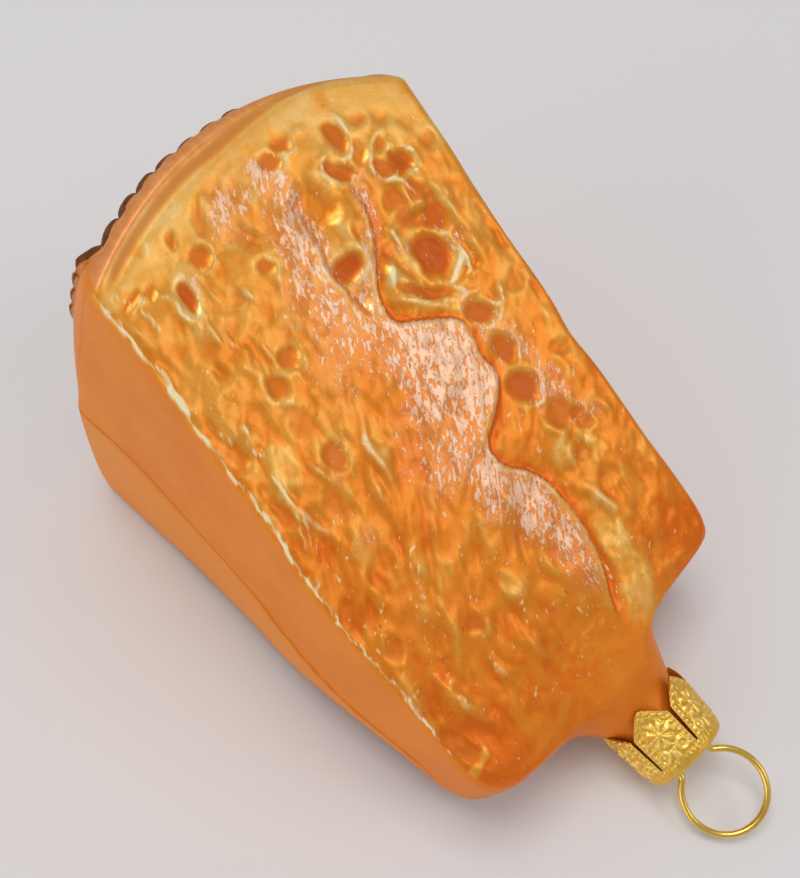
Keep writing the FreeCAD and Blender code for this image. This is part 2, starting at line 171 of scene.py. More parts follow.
# ------------------------------------------------------------------ modelled features of the upper cut face
# hollows: x, y, half lengths, direction in degrees, strength
HOLLOWS = [
    (59.2, -4.5, 1.12, 1.06, -117, .8), (58.0, -2.5, 1.12, .92, -117, .7), (56.6, -10.1, 1.5, 1.0, -176, .9),
    (53.9, -8.0, 1.64, .85, -128, .8), (56.7, -13.4, .94, .85, -122, .5), (54.2, -11.4, .72, 1.42, -124, .45),
    (55.9, -16.3, 1.03, 1.49, -119, .3), (51.1, -14.5, 1.53, 1.06, -122, 1.0), (51.5, -12.4, 1.03, .92, -119, .75),
    (53.5, -13.9, .67, .85, -117, .5), (51.2, -19.0, .94, .92, -122, .4),
    (48.4, -11.5, 1.39, .92, -120, .6), (47.8, -14.7, 1.66, .85, -147, .6), (44.8, -14.6, 1.53, 1.2, -122, 1.0),
    (46.3, -11.8, 1.44, .92, -124, .6), (42.1, -11.9, 2.19, 1.89, -137, 1.3), (46.0, -2.6, 1.9, 1.2, -90, 1.1),
    (34.6, -17.9, 1.03, .78, -119, .4), (34.8, -12.4, 1.8, .92, -124, .9), (39.6, -8.5, 3.11, .72, -123, .8),
    (58.3, 14.3, .94, .78, -122, .75), (57.6, 10.8, .58, .85, -121, .7), (54.8, 9.6, .94, 1.14, -122, .7),
    (55.7, 17.7, 1.26, .89, -108, .9), (52.6, 13.0, 1.3, .8, 176, 1.1), (54.9, 15.7, .58, .5, -121, .5),
    (50.6, 4.5, .94, .78, -122, .6), (60.7, 2.5, 1.25, 1.06, -119, .4), (59.5, 4.1, .94, 1.13, -122, .3),
    (57.5, 7.2, .72, 1.7, -124, .35), (57.3, 1.8, 1.39, .78, -120, .3), (54.0, 4.8, 1.61, .92, -120, .35),
    (30.2, -12.6, 1.6, 1.1, 176, .9), (26.0, -11.5, 1.72, 1.49, -126, 1.0), (21.5, -13.2, 1.36, 1.77, -126, .7),
    (20.2, -14.8, .94, .71, -122, .6), (29.0, -3.4, 1.08, .92, -124, .5), (35.0, -5.1, .64, .64, -129, .3),
    (26.6, -18.1, 1.39, .92, -120, .4), (35.0, -18.4, 1.0, .78, -127, .35), (18.7, -15.3, 1.08, .64, -124, .5),
    (32.9, 10.7, 1.32, 1.0, -171, .7), (42.8, 8.3, 1.22, 1.0, -171, .7), (41.2, 11.2, 1.22, 1.02, 171, .7),
    (37.4, 11.3, 1.92, 1.3, -171, .4), (31.8, 18.7, 1.32, .92, 171, .5), (29.0, 13.5, 1.6, 1.2, 180, .45),
    (11.4, 9.2, .91, .9, -174, .6), (15.4, 18.1, 1.2, .91, 175, .5), (3.6, 19.0, 2.77, 1.04, -154, .7),
    (20.4, 19.6, 1.7, 1.2, 180, .3), (17.8, 12.0, 2.0, 1.1, 180, .25), (19.4, 6.9, 1.4, 1.0, 180, .25),
    (7.3, 2.1, 1.7, 1.2, 180, .2), (16.5, -13.1, 1.22, .85, -125, .35), (13.1, -14.2, 1.22, .78, -125, .3),
    (11.2, -17.8, 1.4, 1.2, 180, .3), (6.0, -16.6, 1.3, 1.2, 180, .3), (21.3, -18.3, 1.0, .8, 180, .3),
    (49.6, 8.8, .8, .8, 180, .35), (48.1, 11.7, .9, .8, 180, .35), (46.6, 9.4, .7, .8, 180, .3),
    (45.5, 14.7, 1.0, .7, 180, .4), (43.4, 13.0, .8, .7, 180, .3), (43.1, 4.1, .8, .7, 180, .25),
    (38.7, 18.4, 1.5, .7, 180, .35), (26.6, 4.2, 1.0, .8, 180, .25), (13.5, 14.4, 1.4, .9, 180, .3),
    (8.9, 14.9, 1.3, .8, 180, .3), (22.3, 13.1, 1.3, .8, 180, .3),
]
# edge of the raised shelf, from near the rind to the neck
SHELF = [(52.6, -8.2), (49.5, -8.4), (46.8, -7.1), (44.8, -5.7), (42.3, -3.5), (39.2, -3.1), (38.5, -4.1),
         (36.1, -9.0), (34.7, -10.2), (32.7, -9.8), (31.1, -9.1), (29.0, -9.9), (27.6, -9.1), (25.4, -6.2),
         (24.2, -3.6), (21.4, -3.5), (18.6, -6.5), (15.9, -7.2), (12.5, -7.6), (7.7, -7.1), (2.9, -5.0),
         (-1.3, -3.5)]
SCARP = [(54.6, -1.0), (53.7, -1.4), (51.9, -1.9), (50.3, -1.3), (48.8, -1.4), (47.1, -0.6), (44.8, -0.9)]
# thin raised ridges, whose crests also carry a painted highlight: half width, height, points
RIDGES = [
    (.30, .30, [(54.5, -15.2), (54.1, -13.1), (52.7, -11.9), (51.6, -11.4), (50.4, -11.9), (49.8, -13.4), (48.5, -14.0), (46.5, -14.4)]),
    (.28, .28, [(55.7, -8.7), (55.4, -7.3), (54.5, -6.5), (53.3, -6.9), (52.4, -8.0)]),
    (.26, .24, [(58.7, -10.8), (57.8, -11.8), (56.5, -11.6)]),
    (.34, .20, [(59.0, 5.4), (57.5, 6.5)]),
    (.20, .26, [(53.7, 11.0), (49.9, 10.6)]),
    (.26, .30, [(54.1, 15.3), (53.1, 14.1), (51.3, 14.6), (49.9, 13.6)]),
    (.24, .26, [(55.8, 19.9), (54.6, 19.8), (53.6, 19.3), (52.2, 18.9)]),
    (.26, .22, [(50.5, 8.2), (48.6, 7.6)]),
    (.30, .22, [(58.9, -6.2), (58.8, -7.7)]),
    (.42, .34, [(43.9, -7.4), (42.8, -6.4), (41.9, -5.7)]),
    (.30, .22, [(41.6, -4.1), (40.5, -5.4), (38.5, -8.1), (36.3, -10.7)]),
    (.34, .28, [(46.6, -9.0), (45.8, -9.5), (44.5, -9.1)]),
    (.30, .26, [(40.7, -15.0), (39.0, -14.7), (37.8, -14.2)]),
    (.26, .24, [(36.7, -12.6), (36.4, -13.9)]),
    (.28, .24, [(35.9, -16.2), (33.8, -15.6)]),
    (.28, .26, [(40.7, 16.2), (38.9, 16.8)]), (.26, .28, [(34.3, 13.4), (32.7, 13.0), (31.2, 12.5)]),
    (.34, .30, [(33.2, 17.6), (31.1, 17.1), (28.9, 16.4), (26.9, 15.8)]), (.40, .30, [(22.4, 15.9), (21.1, 16.1), (19.4, 16.0)]),
    (.40, .26, [(35.2, 5.6), (33.3, 6.6), (31.7, 7.4), (29.9, 7.4), (28.0, 7.3)]), (.30, .24, [(29.3, 9.0), (27.1, 9.3), (24.9, 9.6)]),
    (.34, .30, [(12.0, 4.8), (10.6, 4.4), (9.9, 3.4)]), (.30, .24, [(12.6, 8.6), (11.0, 8.5), (9.8, 8.7)]),
    (.34, .34, [(7.5, 10.3), (6.4, 10.4), (5.2, 10.0)]), (.30, .20, [(6.2, 6.1), (4.4, 5.3), (2.7, 4.5)]),
    (.36, .28, [(10.0, 16.6), (7.4, 16.2), (4.9, 15.2), (2.1, 14.1)]), (.42, .40, [(12.1, 19.9), (10.0, 20.2), (8.3, 20.4), (7.2, 20.3)]),
    (.36, .36, [(0.7, 16.9), (-0.5, 17.0), (-0.6, 18.1), (0.1, 19.1)]), (.32, .30, [(4.5, 20.3), (2.2, 20.0), (0.2, 19.2)]),
    (.28, .30, [(4.6, 18.8), (3.3, 18.3)]), (.40, .38, [(15.1, -9.7), (13.2, -10.8), (10.9, -11.8), (8.4, -12.9)]),
    (.34, .26, [(18.8, -10.9), (17.1, -11.4), (15.5, -10.9)]), (.26, .22, [(21.4, -10.8), (19.6, -11.9), (18.5, -14.0)]),
    (.26, .22, [(19.3, -18.3), (17.5, -18.7)]), (.30, .26, [(19.1, -1.4), (17.1, -1.9)]),
    (.26, .22, [(48.4, 12.2), (46.8, 12.3), (45.6, 11.6)]), (.26, .24, [(50.2, 12.8), (48.0, 13.3), (46.9, 12.9)]),
    (.26, .22, [(45.2, 9.8), (43.4, 10.0)]), (.28, .20, [(11.5, -0.8), (9.1, -1.3)]), (.26, .20, [(22.2, 6.6), (20.1, 7.0)]),
    (.30, .20, [(1.0, -11.4), (1.0, -13.3), (0.7, -14.9), (0.3, -16.7), (-0.2, -18.1)]),
]
# places where the lacquer lies thin on a flat facet, and at (0.9, 18.7) by the tip's corner a soft painted highlight:
# x, y, half lengths, direction, strength
PALE = [
    (35.3, 15.7, 2.6, 1.5, 170, .8), (24.7, 14.5, 2.0, .9, 160, .6), (11.7, 3.6, 1.7, 1.1, 190, .8), (33.3, -6.7, 1.6, 1.3, 150, .7),
    (54.8, 5.8, 2.2, 1.0, 20, .6), (60.0, 11.0, 3.0, 1.4, 100, .7), (60.6, 5.0, 2.2, 1.2, 90, .5), (58.0, -16.0, 2.0, 3.0, 90, .4), (1.4, -8.8, 3.2, 2.2, 150, 1.0),
    (7.0, -9.8, 5.0, 1.9, 165, .95), (16.2, -14.8, 1.5, .8, 30, .6), (28.0, -19.0, 4.5, .9, 0, .6), (42.0, -18.4, 4.0, .8, 0, .4),
    (47.0, -4.2, 3.4, .9, 170, .7), (37.4, -6.4, 1.4, 3.2, 30, .5), (31.0, 6.4, 3.6, .9, 165, .5), (53.0, -16.6, 1.4, .8, 0, .4), (58.5, 17.2, 1.8, 1.0, 100, .5),
    (44.8, -16.9, 2.2, .7, 0, .4), (24.4, -17.0, 1.8, .8, 10, .5), (21.0, 10.0, 2.6, .8, 170, .35), (14.0, 11.4, 2.4, .7, 175, .35), (50.0, 14.4, 1.4, .8, 150, .4),
    (0.9, 18.7, 2.2, .7, 110, 1.5), (4.9, 19.5, 1.6, 1.2, 170, -.7), (18.0, -10.7, 1.8, 1.2, 120, .8),
]


def hollow_field(x, y):
    deep, rim, halo = np.zeros_like(x), np.zeros_like(x), np.zeros_like(x)
    wx = x + 0.45 * fbm(x / 1.7, y / 1.7, 41, 2)
    wy = y + 0.45 * fbm(x / 1.7 + 5, y / 1.7 + 3, 47, 2)
    for cx, cy, a, b, ang, k in HOLLOWS:
        c, s = math.cos(math.radians(ang)), math.sin(math.radians(ang))
        u, v = (wx - cx) * c + (wy - cy) * s, -(wx - cx) * s + (wy - cy) * c
        d = np.sqrt((u / (a * 1.08)) ** 2 + (v / (b * 1.08)) ** 2)
        deep = np.maximum(deep, k * sm(1.22, 0.62, d))
        halo = np.maximum(halo, min(k, 1.0) * sm(2.3, 1.3, d))
        # the rim is stronger on one side; as colour it becomes a painted highlight crescent
        rim = np.maximum(rim, min(k, 1.0) * np.exp(-((d - 1.38) / 0.20) ** 2) * (0.35 + 0.65 * sm(-0.5, 1.0, -np.cos(np.arctan2(v, u) + math.radians(ang) - 0.9))))
    return deep, rim, halo


def patches(x, y, table, k, soft=0.45, wobble=0.4):
    out = np.zeros_like(x)
    n = wobble * fbm(x / 1.5, y / 1.2, k, 3)
    for cx, cy, a, b, ang, w in table:
        c, s = math.cos(math.radians(ang)), math.sin(math.radians(ang))
        u, v = (x - cx) * c + (y - cy) * s, -(x - cx) * s + (y - cy) * c
        g = w * sm(1.0 + soft, 1.0 - soft, np.sqrt((u / a) ** 2 + (v / b) ** 2) + n)
        out = np.where(np.abs(g) > np.abs(out), g, out)
    return out


def flow(x, y):
    """Coordinates along and across the way the paste broke."""
    t = math.radians(-25) * sm(8, 30, x) + math.radians(-12) * (1 - sm(8, 30, x))
    u = x * np.cos(t) + y * np.sin(t)
    v = -x * np.sin(t) + y * np.cos(t)
    return u + 0.5 * fbm(x / 5, y / 5, 19, 2), v + 0.6 * fbm(x / 6, y / 6, 23, 2)


def upper_face(x, y):
    """Height (mm) and the masks for the colour: hollows where the lacquer pools, ridges with a painted highlight,
    patches of painted reflection, and thin places less a painted shade at the tip's corners.
    """
    left = side_left(np.clip(x, 0, WEDGE)) * sm(-4, 1, x) + 14 * (1 - sm(-4, 1, x))
    edge = sm(20.9, 19.6, -y) * sm(0.25, 1.3, left - y)
    rind = sm(60.6, 58.6, x + 5.8 * (y / 20.6) ** 2)
    tip = sm(-3.5, 5.0, x)
    upper = sm(24, 40, x)
    deep, rim, halo = hollow_field(x, y)
    u, v = flow(x, y)
    # crumbly break of the paste: broad lumps near the rind, long crisp-edged ripples towards the tip
    broad = fbm(x / 4.0, y / 3.2, 5, 4, 0.5)
    n = fbm(u / 4.6, v / 2.4, 61, 4, 0.5)
    step = 3.2 * n
    terrace = (np.floor(step) + sm(0.28, 0.72, step - np.floor(step))) / 3.2
    n2 = fbm(u / 2.2, v / 1.3, 67, 3, 0.5)
    long_ = 0.55 * n + 0.45 * terrace
    lumps = upper * (0.7 * broad + 0.3 * long_) + (1 - upper) * (0.9 * long_ + 0.25 * broad)
    small = pits(x + 0.6 * fbm(x / 2, y / 2, 71, 2), y, 3.4, 13) * (0.20 + 0.35 * sm(-0.1, 0.5, broad)) * (0.35 + 0.65 * upper)
    fine = fbm(u / 1.5, v / 0.7, 90, 3, 0.55)
    sd, far, along = from_line(x, y, SHELF)
    high = sm(0.22, -0.22, sd)
    fade = sm(0.0, 0.07, along) * sm(1.0, 0.86, along)
    shelf = (high * np.exp(-np.maximum(-sd, 0) / 9.0) * 0.62 - (1 - high) * np.exp(-np.maximum(sd, 0) / 6.0) * 0.62) * fade
    sc, far2, al2 = from_line(x, y, SCARP)
    inner = sm(-0.25, 0.25, sc) * sm(4.2, 2.4, far2) * sm(0.0, 0.15, al2)
    thin = patches(x, y, PALE, 35, 0.35, 0.35)
    plain = 1 - 0.65 * sm(53, 59.5, x + 5.8 * (y / 20.6) ** 2)
    h = plain * ((0.30 + 0.15 * upper) * lumps + (0.065 + 0.045 * upper) * n2 + 0.025 * fine - 0.40 * small) - 0.28 * deep + 0.10 * rim + 0.12 * thin
    h = h + 0.95 * shelf - 0.50 * inner * sm(-0.4, -1.2, sd)
    # box-shaped break beside the shelf
    box = sm(46.6, 45.6, x + 0.15 * (y + 11)) * sm(38.0, 38.8, x) * sm(-16.6, -15.6, y) * sm(-6.6, -7.6, y + 0.32 * (44 - x))
    h = h - 0.35 * box
    # this mask paints a cream highlight along the ridges' crests
    ridge_highlight = np.zeros_like(x)
    for w, amp, pts in RIDGES:
        _, d, al = from_line(x, y, pts, 2)
        soft = 1 - sm(28, 42, pts[0][0])
        w = w * (0.8 + 0.5 * vnoise(x / 0.8, y / 0.8, 7)) * (1 + 0.9 * soft)
        g = np.exp(-(d / w) ** 2) * (0.45 + 0.55 * np.sin(np.pi * np.clip(al, 0.04, 0.96)))
        h = h + 0.9 * amp * g
        ridge_highlight = np.maximum(ridge_highlight, g * min(1.0, amp * 3.2) * (1 - 0.42 * soft) * (0.75 + 0.5 * fbm(x / 0.9, y / 0.9, 29, 2)))
    # crests of the ripples catch the light as short broken lines
    crest = np.exp(-((step - np.floor(step) - 0.70) / 0.10) ** 2) * sm(0.22, 0.55, fbm(u / 2.2, v / 1.4, 73, 2)) * (1 - 0.4 * upper)
    ridge_highlight = np.maximum(ridge_highlight, 0.75 * crest * (1 - deep))
    # painted highlight: cream crescents on one side of the hollows' rims
    ridge_highlight = np.maximum(ridge_highlight, 0.85 * rim * sm(-0.15, 0.25, fbm(x / 1.2, y / 1.2, 79, 2)))
    # the face's lip along the smooth side, ragged and partly doubled
    wob = 0.40 * fbm(x / 1.8, 0 * x, 77, 4, 0.6)
    gap = left - y
    wide = 0.15 + 0.30 * sm(0.12, 0.55, fbm(x / 2.3, 0 * x, 85, 2)) * sm(14, 40, x)
    lip = np.exp(-((gap - (0.34 + wob + 0.6 * wide)) / wide) ** 2)
    for shift, kk in ((1.9, 81), (3.1, 87)):
        on_ = sm(0.05, 0.4, fbm(x / 3.1, 0 * x, kk, 2)) * sm(20, 34, x)
        lip = lip + 0.8 * on_ * np.exp(-((gap - (shift + 1.0 * fbm(x / 2.1, 0 * x, kk + 20, 3))) / 0.22) ** 2)
    lip = lip * (0.62 + 0.38 * sm(-0.30, 0.10, fbm(x / 1.5, 0 * x, 83, 3))) * sm(57.3, 55.6, x) * sm(-1.0, 2.5, x)
    lip2 = 0.5 * np.exp(-((y + 20.2 + wob) / 0.35) ** 2) * sm(40, 20, x)
    h = h * edge + 0.20 * lip + 0.12 * lip2
    # the lip's cream line is a painted highlight
    ridge_highlight = np.maximum(ridge_highlight, np.maximum(0.95 * lip, 0.35 * lip2)) * sm(-5, 2, x)
    # painted reflection: pinkish-white streaky patches
    reflection_patch = patches(x, y, [(cx, cy, 1.25 * a, 1.45 * b, g_, w) for cx, cy, a, b, g_, w in REFLECTION_PATCHES], 33, 0.75, 0.45)
    ahead = sd * sm(40, 36, np.abs(x - 4)) * (y > -11)
    reflection_patch = reflection_patch * (1 - 0.75 * np.clip(deep, 0, 1)) * sm(0.35, -0.05, ahead)
    thin = np.maximum(thin, 0.72 * (1 - plain) / 0.65 * (0.70 + 0.9 * fbm(x / 3, y / 3, 37, 3)) * sm(18.5, 10.5, y) * sm(0.9, 0.4, deep))
    thin = np.maximum(thin, (0.35 + 0.65 * upper) * 0.95 * halo * sm(-0.35, 0.25, fbm(x / 1.6, y / 1.6, 39, 3)))
    # painted shade: the colour is darker towards the tip's corners
    corner_shade = sm(11, 1, x) * sm(10, 18, np.abs(y)) + 0.5 * sm(10, 0, x) * sm(1, 6, y)
    return h * rind * tip, deep * rind, ridge_highlight, reflection_patch, sd, thin * (1 - deep) - 0.7 * corner_shade


# patches of painted reflection, pinkish-white streaks: x, y, half lengths, direction, strength
REFLECTION_PATCHES = [
    (57.6, -0.9, 1.5, .8, -150, .9), (55.2, -1.6, 2.2, .9, 170, .8), (54.9, 4.8, 1.3, .8, 20, .6), (54.0, -1.5, 2.6, 1.0, 165, .8),
    (50.4, -0.1, 4.6, 1.7, 170, .85), (45.0, 1.2, 4.6, 2.0, 165, .75), (40.6, -0.6, 4.2, 2.4, 160, .65),
    (50.2, -8.8, 2.8, .7, 165, .7), (46.2, -6.3, 2.6, .7, 150, .75),
    (34.4, -5.2, 4.2, 4.4, 150, 1.0), (29.8, -5.4, 3.6, 3.6, 150, 1.0), (31.0, -1.0, 3.6, 1.8, 160, .8),
    (25.6, -1.4, 3.4, 2.3, 145, .75), (21.5, -1.9, 3.2, 1.6, 140, .95), (17.0, -4.2, 3.6, 1.9, 150, .95), (11.5, -5.0, 3.6, 1.5, 175, .8),
    (7.2, -4.8, 2.4, 1.1, 170, .55),
    (29.4, -14.4, 2.2, .9, 195, .65), (24.6, -13.6, 1.3, 1.0, 170, .8), (23.0, -10.6, 1.0, 1.0, 0, .6), (32.8, -13.6, 1.2, .8, 0, .5),
    (43.6, -9.3, 1.2, 1.0, 0, .7), (41.6, -14.6, 1.4, .7, -90, .6), (38.0, -9.0, 2.6, .5, -123, .7),
    (25.0, 14.0, 1.5, .6, 0, .35), (40.0, 4.6, 3.6, 1.6, 160, .45), (27.0, 4.0, 4.5, 1.6, 165, .35), (20.2, -16.2, 1.6, .8, 20, .5),
    (56.7, 5.0, 2.0, 1.1, 150, 0.8), (57.2, 2.7, 1.6, 0.8, 160, 0.7), (53.3, 11.6, 1.1, 0.5, 150, 0.6), (32.6, 10.8, 1.8, 0.6, 140, 0.6), (24.7, 13.0, 1.3, 0.5, 150, 0.6), (23.3, -14.7, 1.6, 0.9, 30, 0.7), (18.9, -16.8, 1.0, 0.6, 30, 0.5), (25.3, -14.9, 1.2, 0.7, 60, 0.7), (46.3, 3.7, 2.6, 1.6, 150, 0.5), (56.9, -0.5, 1.5, 0.7, 150, 0.8), (42.4, 3.0, 2.6, 2.0, 150, 0.6), (25.2, 2.4, 2.6, 1.4, 150, 0.6),
]


def lower_face(x, y):
    edge = sm(20.5, 19.2, np.abs(y))
    rind = sm(57.5, 54.5, x)
    tip = sm(-2.5, 7.0, x)
    pit = pits(x + 31.0, y + 17.0, 5.6, 23)
    small = pits(x + 11.0, y + 7.0, 3.0, 29)
    h = 0.34 * fbm(x / 4.6 + 9, y / 3.2 + 4, 31, 4) + 0.075 * fbm(x / 0.9, y / 0.8, 95, 3) - 0.60 * pit - 0.30 * small
    # painted highlight on the lower face's crests
    ridge_highlight = sm(0.35, 0.75, fbm(x / 2.2, y / 1.6, 37, 3)) * (1 - pit)
    return h * edge * rind * tip, sm(0.25, 0.75, pit), 0.7 * ridge_highlight * edge


# ------------------------------------------------------------------ the body's stations
WEDGE, HALF = 57.0, 20.5
TIP_ROWS = [
    (12.0, 12.0, 12.0, 20.75, 21.00, 13.44, -6.35, 1.0),
    (8.0, 8.0, 8.0, 20.50, 21.20, 11.86, -5.10, 1.0),
    (5.0, 4.8, 5.0, 20.35, 21.30, 10.65, -4.10, 1.1),
    (3.0, 2.4, 3.0, 20.25, 21.35, 9.80, -3.50, 1.3),
    (1.6, 0.4, 1.5, 19.95, 21.20, 9.15, -3.15, 1.5),
    (0.4, -1.4, 0.3, 19.30, 20.75, 8.55, -3.00, 1.8),
    (-0.5, -2.7, -0.3, 18.05, 19.60, 8.00, -3.00, 2.0),
    (-1.1, -3.6, -0.65, 16.05, 17.50, 7.60, -3.05, 2.2),
    (-1.5, -4.0, -0.9, 13.70, 14.90, 7.25, -3.20, 2.5),
    (-1.9, -4.25, -1.2, 11.45, 12.40, 6.95, -3.40, 2.9),
    (-2.5, -4.5, -1.65, 9.15, 10.45, 6.65, -3.65, 3.4),
    (-3.3, -4.9, -2.4, 7.25, 9.35, 6.35, -3.90, 3.9),
    (-4.4, -5.5, -3.5, 5.75, 8.65, 6.00, -4.20, 4.4),
    (-5.8, -6.4, -5.0, 4.60, 8.30, 5.65, -4.40, 4.8),
    (-7.3, -7.7, -6.9, 3.45, 7.80, 5.25, -4.60, 4.9),
    (-8.8, -9.0, -8.6, 2.50, 7.20, 4.80, -4.60, 4.7),
    (-10.4, -10.5, -10.3, 1.95, 6.95, 4.45, -4.40, 4.42),
    (-12.2, -12.2, -12.2, 1.65, 6.85, 4.25, -4.25, 4.25),
    (-14.0, -14.0, -14.0, 1.60, 6.80, 4.20, -4.20, 4.2),
    (-15.75, -15.75, -15.75, 1.60, 6.80, 4.20, -4.20, 4.2),
]


def spline_row(rows, t):
    n = len(rows)
    i = min(max(int(math.floor(t)), 0), n - 2)
    f = t - i
    p0, p1, p2, p3 = rows[max(i - 1, 0)], rows[i], rows[i + 1], rows[min(i + 2, n - 1)]
    return [0.5 * (2 * b + (c - a) * f + (2 * a - 5 * b + 4 * c - d) * f * f + (3 * b - a - 3 * c + d) * f ** 3)
            for a, b, c, d in zip(p0, p1, p2, p3)]


def side_left(x):
    """Half height of the cut face to +y; the sides wander a little, as a broken edge does."""
    return HALF + 0.8 * np.exp(-((x - 22) / 9) ** 2) - 0.3 * np.exp(-((x - 50) / 6) ** 2)


def side_right(x):
    return (HALF + 0.45 + 0.28 * sm(44, 50, x) - 0.45 * np.exp(-((x - 26.5) / 3.2) ** 2)
            + 0.35 * sm(14, 4, x) - 0.12 * np.exp(-((x - 39) / 4.0) ** 2))


def lower_z(x):
    return -(2.2 + 0.350 * x) - 0.5 * np.exp(-((x - 50.5) / 4.5) ** 2) + 0.32 * np.exp(-((x - 23) / 8.0) ** 2)


def stations(n_border, step_long, step_tip):
    rows = []
    for k in range(n_border, 0, -1):
        rows.append([WEDGE] * 3 + [side_left(WEDGE), side_right(WEDGE), 8.7 + 0.395 * WEDGE, lower_z(WEDGE), 1.0,
                                   math.pi / 2 * k / n_border])
    count = int(round((WEDGE - 12.0) / step_long))
    for k in range(count):
        x = WEDGE - (WEDGE - 12.0) * k / count
        rows.append([x, x, x, side_left(x), side_right(x), 8.7 + 0.395 * x, lower_z(x), 1.0, 0.0])
    fine = [spline_row(TIP_ROWS, (len(TIP_ROWS) - 1) * k / 900.0) for k in range(901)]
    run = [0.0]
    for a, b in zip(fine, fine[1:]):
        run.append(run[-1] + math.hypot(b[1] - a[1], b[3] - a[3]))
    count = int(round(run[-1] / step_tip))
    j = 0
    for k in range(count + 1):
        want = run[-1] * k / count
        while j < 899 and run[j + 1] < want:
            j += 1
        f = min(max((want - run[j]) / max(run[j + 1] - run[j], 1e-9), 0), 1)
        rows.append([a + (b - a) * f for a, b in zip(fine[j], fine[j + 1])] + [0.0])
    return np.array(rows)


def place(rows, sy, sz):
    """Surface points for stations (n, 9) and border points of a unit square (m): an array n x m x 3."""
    xc, xl, xr, hl, hr, zt, zb, r, th = [c[:, None] for c in rows.T]
    sy, sz = sy[None, :], sz[None, :]
    h, yc, a, zc = (hl + hr) / 2, (hl - hr) / 2, (zt - zb) / 2, (zt + zb) / 2
    curl, reach = 1 - np.cos(th), np.sin(th)
    r = np.minimum(np.minimum(r + 0.6 * curl, h), a)
    py, pz = sy * h, sz * a
    qy, qz = np.clip(py, -h + r, h - r), np.clip(pz, -a + r, a - r)
    dy, dz = py - qy, pz - qz
    n = np.hypot(dy, dz)
    m = np.maximum(n, 1e-12)
    py, pz = np.where(n > 0, qy + r * dy / m, py), np.where(n > 0, qz + r * dz / m, pz)
    top = sm(0.75, 1.0, pz / a) * sm(1.02, 0.9, np.abs(py) / h)
    band = 2.4 + (1.3 - 2.4) * top
    y0 = py * (h - 2.4 * curl) / h
    z0 = pz * (a - band * curl) / a
    y, z = yc + y0, zc + z0
    body = np.clip(xc / 14, 0, 1)
    up, dn = np.clip(z / zt, 0, 1), np.clip(z / zb, 0, 1)
    side = (np.abs(py) / h) ** 6
    swell = np.where(z >= 0, 0.9 * (1 - up), 0.9 * (1 - 0.5 * dn))
    y = y + np.sign(py) * side * swell * body
    yy, ze = np.clip(y / 20.6, -1, 1), np.clip(z0 / a, -1, 1)
    x = xc + np.where(y > yc, (xl - xc) * np.clip((y - yc) / h, 0, 1), (xr - xc) * np.clip((yc - y) / h, 0, 1))
    part = np.clip(xc, 0, None) / WEDGE
    bulge = 5.8 * (1 - yy * yy) * part ** 1.5 + 3.6 * (1 - np.abs(ze) ** 2.2) * (1 - 0.1 * yy ** 4) * part ** 3
    bulge = np.where(xc > 0, bulge, 0)
    f = (z - zb) / (zt - zb)
    x = x + bulge
    z = (zb - math.tan(PITCH) * bulge) * (1 - f) + (zt + 0.395 * bulge) * f
    return np.stack([x + band * reach, y, z], -1)


def tip_lift(P, rows):
    """The upper face runs straight on to the neck in the middle of the tip."""
    x, y, z = P[..., 0], P[..., 1], P[..., 2]
    zt, zb = rows[:, 5][:, None], rows[:, 6][:, None]
    gain = np.clip(8.70 + 0.395 * x - zt, 0, 1.3) * sm(-8.3, -4.5, x) * sm(9.0, 5.0, x)
    up = np.clip((z - 0.5 * (zt + zb)) / (0.5 * (zt - zb)), 0, 1)
    return gain * up * sm(14.0, 5.0, np.abs(y + 1.5))


def blur(a, n, axis):
    k = np.exp(-np.linspace(-2, 2, 2 * n + 1) ** 2)
    k /= k.sum()
    pad = [(0, 0), (0, 0)]
    pad[axis] = (n, n)
    b = np.pad(a, pad, mode="edge")
    return np.apply_along_axis(lambda v: np.convolve(v, k, "valid"), axis, b)


# ------------------------------------------------------------------ the glass body
def seam_z(x):
    return 0.9 + 1.1 * np.sin((x - 16) / 11.5) - 1.2 * np.exp(-((x - 16) / 7.0) ** 2)


def rind_beads(s, t):
    """Rows of round beads over the rind, s across the wheel's height and t down through the thickness.
    Returns a height from 0 to 1."""
    rows = 13
    row = rows * s
    j = np.floor(row)
    col = 12 * t + 0.5 * (j % 2) + 0.25 * hash01(j, 3.0, 9)
    u, v = row - j - 0.5, col - np.floor(col) - 0.5
    d = np.sqrt((u / 0.44) ** 2 + (v / 0.43) ** 2)
    bead = np.sqrt(np.clip(1 - d ** 2.6, 0, 1)) * sm(0.055, 0.075, t)
    first = np.sqrt(np.clip(1 - (np.abs(u) / 0.47) ** 2.2 - ((t - 0.030) / 0.034) ** 2, 0, 1)) * (0.85 + 0.3 * hash01(j, 7.0, 5))
    bead = np.maximum(bead, first)
    inner = sm(0.005, 0.02, s) * sm(0.995, 0.97, s) * sm(0.98, 0.94, t)
    inner = inner * (1 - sm(0.62, 0.68, s) * sm(0.14, 0.10, t))
    return bead * inner


